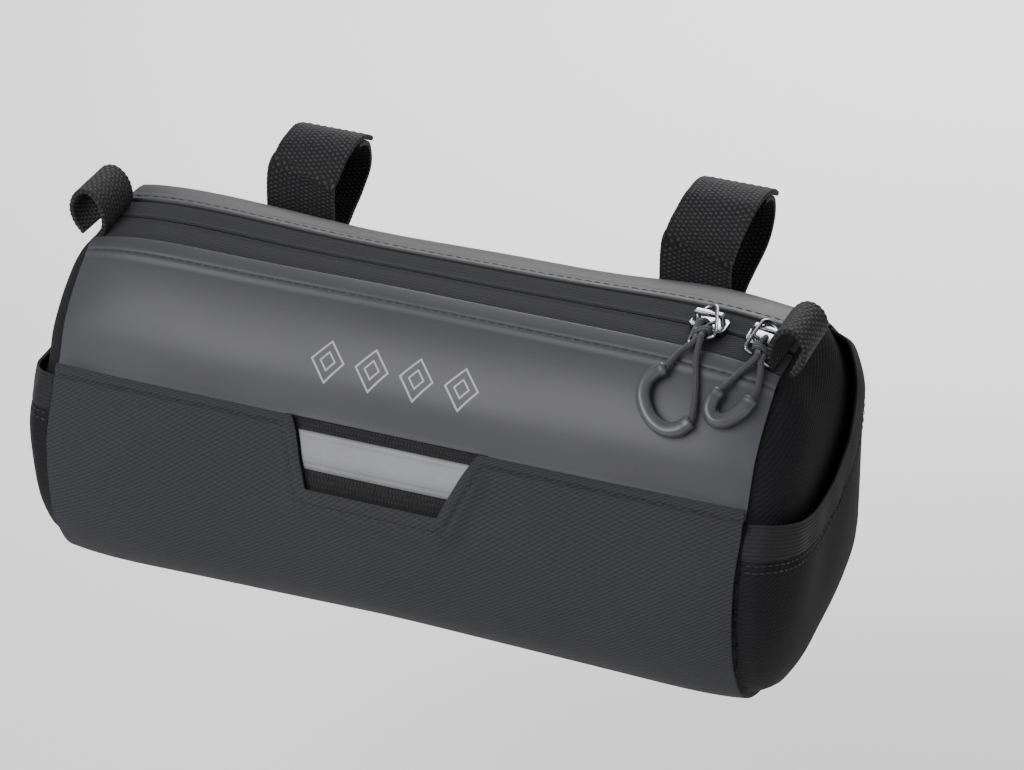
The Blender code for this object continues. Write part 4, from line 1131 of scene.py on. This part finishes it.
class BAG_OT_ends(bpy.types.Operator):
    """Makes the end walls with their slip pockets and elastic bands"""
    bl_idname = "bag.ends"
    bl_label = "Ends and pockets"

    def execute(self, context):
        cloth = context.scene.bag_cloth
        wall = woven_cloth("end twill", cloth.ends, 1.2 * MM, 0.35, 0.2 * MM)
        band = elastic_cloth(context.scene.bag_webbing.elastic)
        thread = spun_thread(context.scene.bag_fittings.thread)
        for side, word in ((-1, "left"), (1, "right")):
            self.wall("end_panel_" + word, side, wall)
            self.pocket("side_pocket_" + word, side, wall)
            self.band("pocket_band_" + word, side, band)
            self.seams(side, word, thread)
        return {"FINISHED"}

    def wall(self, name, side, material):
        walk = np.linspace(0, OUTLINE.length, 161)
        y, z, _, _, out_y, out_z = OUTLINE.at(walk)
        y, z = y - out_y * END_INSET, z - out_z * END_INSET
        share = np.concatenate([np.linspace(0.0, 0.9, 22), np.linspace(0.92, 1.0, 9)])
        ys = mix(END_CENTRE[0], y[:, None], share[None, :])
        zs = mix(END_CENTRE[1], z[:, None], share[None, :])
        pull = 0.25 * MM * bump(1 - share[None, :], 0.16) * (1 - bump(1 - share[None, :], 0.03))
        pull = pull * (np.sin(walk[:, None] / (5.3 * MM))
                       + 0.6 * np.sin(walk[:, None] / (3.1 * MM) + side))
        pull[-1] = pull[0]
        xs = HALF + end_reach(share)[None, :] + pull
        # The wall's edge turns out and in under the main cloth
        tuck = END_CLEARANCE - 0.1 * MM
        ys = np.concatenate([ys, (y + out_y * tuck)[:, None]], axis=1)
        zs = np.concatenate([zs, (z + out_z * tuck)[:, None]], axis=1)
        xs = np.concatenate([xs, np.full((len(walk), 1), HALF - 2.2 * MM)], axis=1)
        points = np.stack([side * xs, ys, zs], axis=-1)
        points[-1] = points[0]
        uv = np.stack([ys, zs], axis=-1)
        points, uv = (grid[:, ::-1] for grid in (points, uv))
        points, uv = one_sided(-side, points, uv)
        piece = grid_piece(name, points, uv)
        in_edit_mode(piece, (bpy.ops.mesh.remove_doubles, {"threshold": SAME_POINT}))
        cloth_wall(piece, 1.2 * MM)
        finish_piece(piece, material, "woven_cloth", name)

    def full(self, share):
        return POCKET_FULLNESS * np.sqrt(np.sin(np.pi * share))

    def seated(self, ys, zs, out):
        """The pocket's height over the end wall, which falls to the wall at the seam."""
        hold = smooth_step((SEAM_REACH - end_share(ys, zs)) / 0.10)
        return mix(SEAM_HEIGHT, out, hold)

    def lines(self, count):
        """The mouth and the band's foot, drawn out to the seam at their ends."""
        share = np.linspace(0, 1, count + 1)
        drawn = []
        for line in mouth_lines(count):
            y, z = line[:, 0], line[:, 1]
            reach = SEAM_REACH / np.maximum(end_share(y, z), 1e-6)
            reach = mix(1.0, reach, bump(np.minimum(share, 1 - share), 0.05))
            y, z = mix(END_CENTRE[0], y, reach), mix(END_CENTRE[1], z, reach)
            drawn.append(np.column_stack(held_inside(y, z, SEAM_REACH)))
        return drawn

    def sewn_line(self):
        """Shares along the pocket's top with the band's foot, and where it is sewn in below."""
        share = np.linspace(0, 1, 97)
        start, end = OUTLINE.length - POCKET_START, NAMED["rear_shoulder"] + POCKET_END
        return (share, self.lines(96)[1], *OUTLINE.at(mix(start, end, share))[:2])

    def pocket(self, name, side, material):
        share, foot, y, z = self.sewn_line()
        share = share[:, None]
        down = np.linspace(0, 1, 41)[None, :]
        ys = mix(foot[:, :1], y[:, None], down)
        zs = mix(foot[:, 1:], z[:, None], down)
        ys, zs = held_inside(ys, zs, SEAM_REACH)
        drape = 0.45 * MM * np.sin(share * 23 + 1.5 * side + 2.2 * down) * bump(down - 0.2, 0.35)
        seam = -0.3 * MM * bump(down * 60 * MM - 2.0 * MM, 0.8 * MM)
        pucker = 0.22 * MM * np.sin(share * 120 + side)
        pucker = pucker * bump(1 - down, 0.14) * (1 - bump(1 - down, 0.03))
        full = self.full(share) * (1 - down ** 2) + drape + seam + pucker
        points = end_point(side, ys, zs, self.seated(ys, zs, POCKET_CLEARANCE + CLOTH + full))
        points, uv = one_sided(side, points, np.stack([ys, zs], axis=-1))
        piece = grid_piece(name, points, uv)
        cloth_wall(piece, POCKET_WALL)
        finish_piece(piece, material, "woven_cloth", name)

    def band(self, name, side, material):
        share = np.linspace(0, 1, 111)
        across = np.linspace(0, 1, 55)
        top, foot = self.lines(110)
        reach = across[None, :] * (1 - 0.3 * BAND_GAP / BAND_WIDTH)
        ys, zs = (mix(top[:, k:k + 1], foot[:, k:k + 1], reach) for k in (0, 1))
        ribs = 0.25 * MM * np.abs(np.sin(np.pi * across * BAND_WIDTH / BAND_RIB))[None, :]
        gather = 0.25 * MM * np.sin(share * 46)[:, None] * bump(across - 0.6, 0.5)[None, :]
        out = self.seated(ys, zs, POCKET_CLEARANCE + CLOTH + self.full(share)[:, None])
        points = end_point(side, ys, zs, out + BAND_PROUD + ribs + gather - 0.1 * MM)
        uv = np.stack(np.meshgrid(walked(top), across * BAND_WIDTH, indexing="ij"), axis=-1)
        points, uv = one_sided(side, points, uv)
        piece = grid_piece(name, points, uv)
        cloth_wall(piece, BAND_WALL, 0.3 * MM)
        finish_piece(piece, material, "webbing", name)

    def seams(self, side, word, thread):
        """Two rows of stitches under the band."""
        share, foot, y, z = self.sewn_line()
        for k, below in enumerate((1.2 * MM, 3.4 * MM)):
            step = unit(np.column_stack([y - foot[:, 0], z - foot[:, 1]])) * below
            ys, zs = held_inside(*(foot + step).T, POCKET_LIMIT)
            out = self.seated(ys, zs, POCKET_CLEARANCE + CLOTH + self.full(share)) + 0.12 * MM
            line = end_point(side, ys, zs, out)
            outward = unit(end_point(side, ys, zs, out + MM) - line)
            stitch_row(f"pocket_stitches_{word}_{k + 1}", line[2:-2], outward[2:-2], thread,
                       2.4 * MM, 1.8 * MM, 0.4 * MM)


def top_height(y):
    """Height of the end seam's outline on top of the bag, at places from front to back."""
    walk = np.linspace(NAMED["front_shoulder"], NAMED["rear_shoulder"], 400)
    ys, zs = OUTLINE.at(walk)[:2]
    return np.interp(y, ys, zs)


class BAG_OT_straps(bpy.types.Operator):
    """Makes the webbing straps with their hook legs, and the side loops"""
    bl_idname = "bag.straps"
    bl_label = "Straps and loops"

    def execute(self, context):
        settings = context.scene.bag_webbing
        cloth = webbing_cloth("nylon webbing", settings.webbing, settings.rib)
        thread = spun_thread(context.scene.bag_fittings.thread)
        front_y = -BAR_TO_BACK + GAP
        rear_y = front_y + WEBBING + GAP + WEBBING
        for side, word in ((-1, "left"), (1, "right")):
            for name, y in (("strap_" + word, front_y), ("strap_hook_" + word, rear_y)):
                self.strap(name, side, y, cloth, thread, settings)
            self.loop("side_loop_" + word, side, cloth, settings)
        return {"FINISHED"}

    def strap(self, name, side, foot_y, cloth, thread, settings):
        legs = LEGS[name]
        line = [(side * STRAP_SPACING / 2 + lean * STRAP_WIDTH,
                 -(BAR_RADIUS + clear * MM) * math.cos(math.radians(angle)),
                 (BAR_RADIUS + clear * MM) * math.sin(math.radians(angle)))
                for angle, clear, lean in legs]
        x = line[0][0]
        foot = [(x, foot_y, SEWN_TOP - SEWN_LENGTH), (x, foot_y, SEWN_TOP)]
        line = np.vstack([foot[:1], open_curve(foot[1:] + line, 16)])
        line = resample(line, int(walked(line)[-1] / (settings.rib / 4)))
        across = np.broadcast_to(np.array([1.0, 0.0, 0.0]), line.shape)
        way = -1 if "hook" in name else 1
        piece = ribbon(name, line, across, STRAP_WIDTH, WEBBING, way, settings.rib,
                       settings.relief, 28)
        finish_piece(piece, cloth, "webbing", name)
        if way > 0:
            _, wide, out = frames_along(line, across)
            run = walked(line)
            k = int(np.searchsorted(run, run[-1] - 4.5 * MM))
            ends = line[k] + out[k] * 0.1 * MM + wide[k] * np.linspace(-11, 11, 20)[:, None] * MM
            stitch_row(name + "_stitches", ends, np.broadcast_to(out[k], ends.shape), thread,
                       2.6 * MM, 2.0 * MM)

    def loop(self, name, side, cloth, settings):
        line = open_curve(LOOP_LINE, 14)
        middle = back_to_y(0) + LOOP_SETBACK + LOOP_WIDTH / 2
        rise = top_height(middle + LOOP_WIDTH / 2) - top_height(middle - LOOP_WIDTH / 2)
        points = np.column_stack([side * (HALF + line[:, 0] * LOOP_REACH),
                                  np.full(len(line), middle),
                                  top_height(middle) + line[:, 1] * LOOP_HEIGHT])
        points = resample(points, int(52 * MM / (settings.rib / 4)))
        up = np.clip((points[:, 2] - top_height(middle)) / LOOP_HEIGHT, 0.0, 1.0)
        across = unit(np.column_stack([0 * up, 0 * up + LOOP_WIDTH, rise * (1 - up)]))
        piece = ribbon(name, points, across, math.hypot(LOOP_WIDTH, rise), WEBBING, side,
                       settings.rib, settings.relief, 22)
        finish_piece(piece, cloth, "webbing", name)


def along_pulls(share):
    """A place along the bag, from a share of the end where the pulls lie."""
    return HALF - PULL_AREA * (1 - share)


def tab_place(name):
    """Maps lengths down a tab, across it and out of it to points at the tab."""
    share, way, hook, swing = SLIDERS[name]
    middle, along, around, out = skin_frame(along_pulls(share), NAMED["zip"])
    bar = GAP + SLIDER_THICKNESS + BRIDGE_WINDOW + BRIDGE_BAR / 2
    eye = middle + along * hook * BRIDGE_LENGTH + out * bar
    forward = along * math.sin(swing) - around * math.cos(swing)
    sideways = along * math.cos(swing) + around * math.sin(swing)
    down = forward * math.cos(TAB_SLOPE) - out * math.sin(TAB_SLOPE)
    above = out * math.cos(TAB_SLOPE) + forward * math.sin(TAB_SLOPE)
    across = sideways * math.cos(TAB_TWIST) + above * math.sin(TAB_TWIST) * way
    proud = above * math.cos(TAB_TWIST) - sideways * math.sin(TAB_TWIST) * way
    return lambda t, s, n: eye + down * t + across * s + proud * n


def grip_line(name, steps):
    rows = open_curve(GRIPS[name], steps)
    return skin(along_pulls(rows[:, 0]), NAMED["front_fold"] - rows[:, 1] * PULL_DROP, GRIP_LIFT)


def held_end(line):
    """The cord's points inside one end of a grip, from the inside out."""
    run = walked(line)
    return list(read_at([GRIP_HOLD, GRIP_HOLD / 2, 0.0], run, line))


def cord_points(name):
    """The cord from one end of its grip up round the tab's bar and down to the other end."""
    place = tab_place(name)
    line = grip_line(name, 2)
    first, second = (
        [skin(along_pulls(along), NAMED["front_fold"] - down * PULL_DROP, lift * GRIP_LIFT)
         for along, down, lift in strand]
        for strand in STRANDS[name])
    apart = (CORD_DIAMETER + STRAND_GAP) / 2
    clear = (TAB_WIRE + CORD_DIAMETER) / 2 + STRAND_GAP
    over = ((TAB_LENGTH + clear, clear), (TAB_LENGTH, clear + STRAND_GAP),
            (KNOT_START + KNOT_LENGTH, KNOT_RISE), (KNOT_START, 0.0))
    up = [place(t, -apart, n) for t, n in over]
    back = [place(t, apart, n) for t, n in over[::-1]]
    turn = []
    for share in np.linspace(0.0, 1.0, 7):
        angle = math.radians(mix(50, 310, share))
        turn.append(place(TAB_BAR + clear * math.cos(angle), apart * (2 * share - 1),
                          clear * math.sin(angle)))
    last = held_end(line[::-1])[::-1]
    return np.array([*held_end(line), *first, *up, *turn, *back, *second, *last])


def softened_copy(node, name, width):
    """A copy of a fitting from the frame, its faces joined up and its edges rounded."""
    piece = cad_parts[node].copy()
    piece.data = piece.data.copy()
    piece.name = piece.data.name = name
    piece.parent = None
    bpy.context.scene.collection.objects.link(piece)
    in_edit_mode(piece, (bpy.ops.mesh.remove_doubles, {"threshold": 0.002 * MM}),
                 (bpy.ops.mesh.dissolve_limited, {"angle_limit": math.radians(3)}))
    use_modifier(piece, "BEVEL", width=width, segments=3, limit_method="ANGLE",
                 angle_limit=math.radians(35))
    smooth(piece, 50)
    return piece


class BAG_OT_pulls(bpy.types.Operator):
    """Makes the zip sliders, tabs, cords, knots and grips"""
    bl_idname = "bag.pulls"
    bl_label = "Zip pulls"

    def execute(self, context):
        fittings = context.scene.bag_fittings
        metal = plated_metal(fittings.metal)
        cord = braided_cord("braided cord", fittings.cord)
        rubber = moulded_rubber(fittings.rubber)
        for name in SLIDERS:
            slider = softened_copy("zip_slider_" + name, "slider_" + name, 0.3 * MM)
            finish_piece(slider, metal, "black_nickel", "zip_slider_" + name)
            self.tab(name, metal)
            grip = self.grip(name, rubber)
            knot = self.knot(name, cord)
            self.cord(name, cord, grip, knot)
        return {"FINISHED"}

    def tab(self, name, metal):
        place = tab_place(name)
        ring = [(-TAB_EYE * math.cos(turn), TAB_EYE * math.sin(turn))
                for turn in np.linspace(-math.pi / 2, math.pi / 2, 7)]
        side = [(down * TAB_LENGTH, wide * TAB_WIDTH / 2) for down, wide in TAB_SIDE]
        ring += side + [(t, -s) for t, s in side[::-1]]
        closed = [ring[-1], *ring, ring[0], ring[1]]
        curve = open_curve(closed, 8)[8:-8]
        line = np.array([place(t, s, 0.0) for t, s in curve])
        wire = tube("tab_" + name, line, TAB_WIRE / 2, 14, capped=False)
        reach = 0.84 * TAB_WIDTH / 2
        bar = np.array([place(TAB_BAR, s, 0.0) for s in np.linspace(-reach, reach, 12)])
        cross = tube("tab_bar_" + name, bar, TAB_WIRE / 2, 14)
        deselect()
        cross.select_set(True)
        wire.select_set(True)
        bpy.context.view_layer.objects.active = wire
        bpy.ops.object.join()
        smooth(wire, 60)
        finish_piece(wire, metal, "black_nickel", "pull_tab_" + name)

    def grip(self, name, rubber):
        line = resample(grip_line(name, 10), 70)
        run = walked(line)
        off = np.minimum(run, run[-1] - run)
        swell = GRIP_DIAMETER / 2 * (1 - 0.06 * bump(off - 2.2 * MM, 0.9 * MM))
        swell = swell - 0.45 * MM * bump(off, 0.45 * MM)
        outer = tube("grip_" + name, line, swell, 28, capped=False, ridges=0.05)
        use_modifier(outer, "SOLIDIFY", thickness=GRIP_WALL * 0.8, offset=-1.0)
        use_modifier(outer, "BEVEL", width=0.2 * MM, segments=2, limit_method="ANGLE",
                     angle_limit=math.radians(50))
        smooth(outer, 60)
        return finish_piece(outer, rubber, "rubber", "pull_grip_" + name)

    def knot(self, name, cord):
        """Three turns of cord wrapped round both strands."""
        place = tab_place(name)
        apart = (CORD_DIAMETER + STRAND_GAP) / 2
        wrap = 0.55 * MM
        turns = 2.6
        points = []
        for share in np.linspace(0, 1, 130):
            angle = 2 * math.pi * turns * share
            radius = CORD_DIAMETER / 2 + wrap * 0.95
            s = radius * math.cos(angle) + apart * math.tanh(4 * math.cos(angle))
            t = KNOT_START - 0.1 * MM + share * (KNOT_LENGTH + 0.2 * MM)
            points.append(place(t, s, share * KNOT_RISE + radius * math.sin(angle)))
        piece = tube("knot_" + name, np.array(points), wrap, 10)
        smooth(piece, 60)
        return finish_piece(piece, cord, "cord", "pull_knot_" + name)

    def cord(self, name, material, grip, knot):
        line = open_curve(cord_points(name), 4)
        line = resample(line, int(walked(line)[-1] / CORD_STEP))
        piece = tube("cord_" + name, line, CORD_DIAMETER / 2, 12)
        smooth(piece, 60)
        finish_piece(piece, material, "cord", "pull_cord_" + name)


class BAG_OT_stitches(bpy.types.Operator):
    """Makes the rows of stitches on the front and top"""
    bl_idname = "bag.stitches"
    bl_label = "Stitches"

    def execute(self, context):
        fittings = context.scene.bag_fittings
        thread = spun_thread(fittings.thread)
        ends = HALF - 2.5 * MM
        xs = np.linspace(-ends, ends, 300)
        fold = np.full(300, NAMED["front_fold"] + FOLD_LAP - FOLD_STRIP)
        rear = np.full(300, NAMED["rear_seam"] + 1.6 * MM)
        off = HEM_WIDTH * 0.9
        top, bottom = WINDOW_TOP / 2 + 2.5 * MM, WINDOW_BOTTOM / 2 + 2.5 * MM
        low = WINDOW_DROP + off
        path = resample([(-ends, off), (-top, off), (-bottom, low), (bottom, low), (top, off),
                         (ends, off)], 700)
        hem = OUTLINE.length - path[:, 1]
        for name, x, walk, rise in (("front_fold_stitches", xs, fold, front_rise),
                                    ("rear_seam_stitches", xs, rear, rear_rise),
                                    ("hem_stitches", path[:, 0], hem, lower_rise)):
            line, outward = skin_line(x, walk, rise(x, walk) + puckers(x, walk) + 0.12 * MM)
            stitch_row(name, line, outward, thread, fittings.pitch)
        return {"FINISHED"}


class BAG_OT_stage(bpy.types.Operator):
    """Makes the floor, the lights and the camera"""
    bl_idname = "bag.stage"
    bl_label = "Stage"

    def execute(self, context):
        stage = context.scene.bag_stage
        deselect()
        bpy.ops.mesh.primitive_plane_add(size=14, location=(0, 0, 0))
        floor = context.object
        floor.name = "floor"
        floor.data.transform(Matrix.Translation((0, 0, -FLOOR_DROP)))
        made, _, shader = new_material("matte paper", 0.9)
        shader.inputs["Base Color"].default_value = (*stage.floor, 1.0)
        floor.data.materials.append(made)
        world = bpy.data.worlds.new("studio")
        world.use_nodes = True
        sky = world.node_tree.nodes["Background"]
        sky.inputs["Color"].default_value = (0.85, 0.86, 0.88, 1.0)
        sky.inputs["Strength"].default_value = 0.40
        context.scene.world = world
        self.light("key", (-0.45, -1.25, 0.95), 1.2, stage.key)
        self.light("fill", (1.1, -0.9, 0.5), 0.8, stage.fill)
        self.light("rear", (0.2, 0.9, 0.8), 0.8, stage.rear)
        self.light("backdrop", (-0.1, 0.95, 0.5), 1.0, stage.backdrop, (-0.1, 0.9, -FLOOR_DROP))
        self.camera(context)
        return {"FINISHED"}

    def light(self, name, place, size, power, target=AIM):
        made = bpy.data.lights.new(name, "AREA")
        made.shape = "DISK"
        made.size = size
        made.energy = power
        lamp = bpy.data.objects.new(name, made)
        lamp.location = place
        lamp.rotation_euler = (Vector(place) - Vector(target)).to_track_quat("Z", "Y").to_euler()
        bpy.context.scene.collection.objects.link(lamp)

    def camera(self, context):
        made = bpy.data.cameras.new("camera")
        made.lens = LENS
        made.clip_end = 50
        eye = bpy.data.objects.new("camera", made)
        turn, height = math.radians(TURN), math.radians(HEIGHT)
        away = Vector((math.sin(turn) * math.cos(height), -math.cos(turn) * math.cos(height),
                       math.sin(height)))
        eye.location = Vector(AIM) + away * DISTANCE
        eye.rotation_euler = away.to_track_quat("Z", "Y").to_euler()
        context.scene.collection.objects.link(eye)
        context.scene.camera = eye


class BAG_PT_panel(bpy.types.Panel):
    """Lists the bag's pieces and settings"""
    bl_label = "Handlebar bag"
    bl_idname = "BAG_PT_panel"
    bl_space_type = "VIEW_3D"
    bl_region_type = "UI"
    bl_category = "Handlebar bag"

    def draw(self, context):
        for operator in OPERATORS:
            self.layout.operator(operator.bl_idname)
        for name, group in SETTINGS.items():
            box = self.layout.box()
            held = getattr(context.scene, name)
            for key in group.__annotations__:
                box.prop(held, key)


OPERATORS = (BAG_OT_main_cloth, BAG_OT_window, BAG_OT_ends, BAG_OT_straps, BAG_OT_pulls,
             BAG_OT_stitches, BAG_OT_stage)
SETTINGS = {
    "bag_cloth": BagClothSettings,
    "bag_webbing": BagWebbingSettings,
    "bag_fittings": BagFittingSettings,
    "bag_stage": BagStageSettings,
}


def register():
    for group in (*SETTINGS.values(), *OPERATORS, BAG_PT_panel):
        bpy.utils.register_class(group)
    for name, group in SETTINGS.items():
        setattr(bpy.types.Scene, name, PointerProperty(type=group))


def unregister():
    for name in SETTINGS:
        delattr(bpy.types.Scene, name)
    for group in reversed((*SETTINGS.values(), *OPERATORS, BAG_PT_panel)):
        bpy.utils.unregister_class(group)


def main():
    register()
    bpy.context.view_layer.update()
    bpy.ops.bag.main_cloth()
    bpy.ops.bag.window()
    bpy.ops.bag.ends()
    bpy.ops.bag.straps()
    bpy.ops.bag.pulls()
    bpy.ops.bag.stitches()
    bpy.ops.bag.stage()


if __name__ == "__main__":
    main()
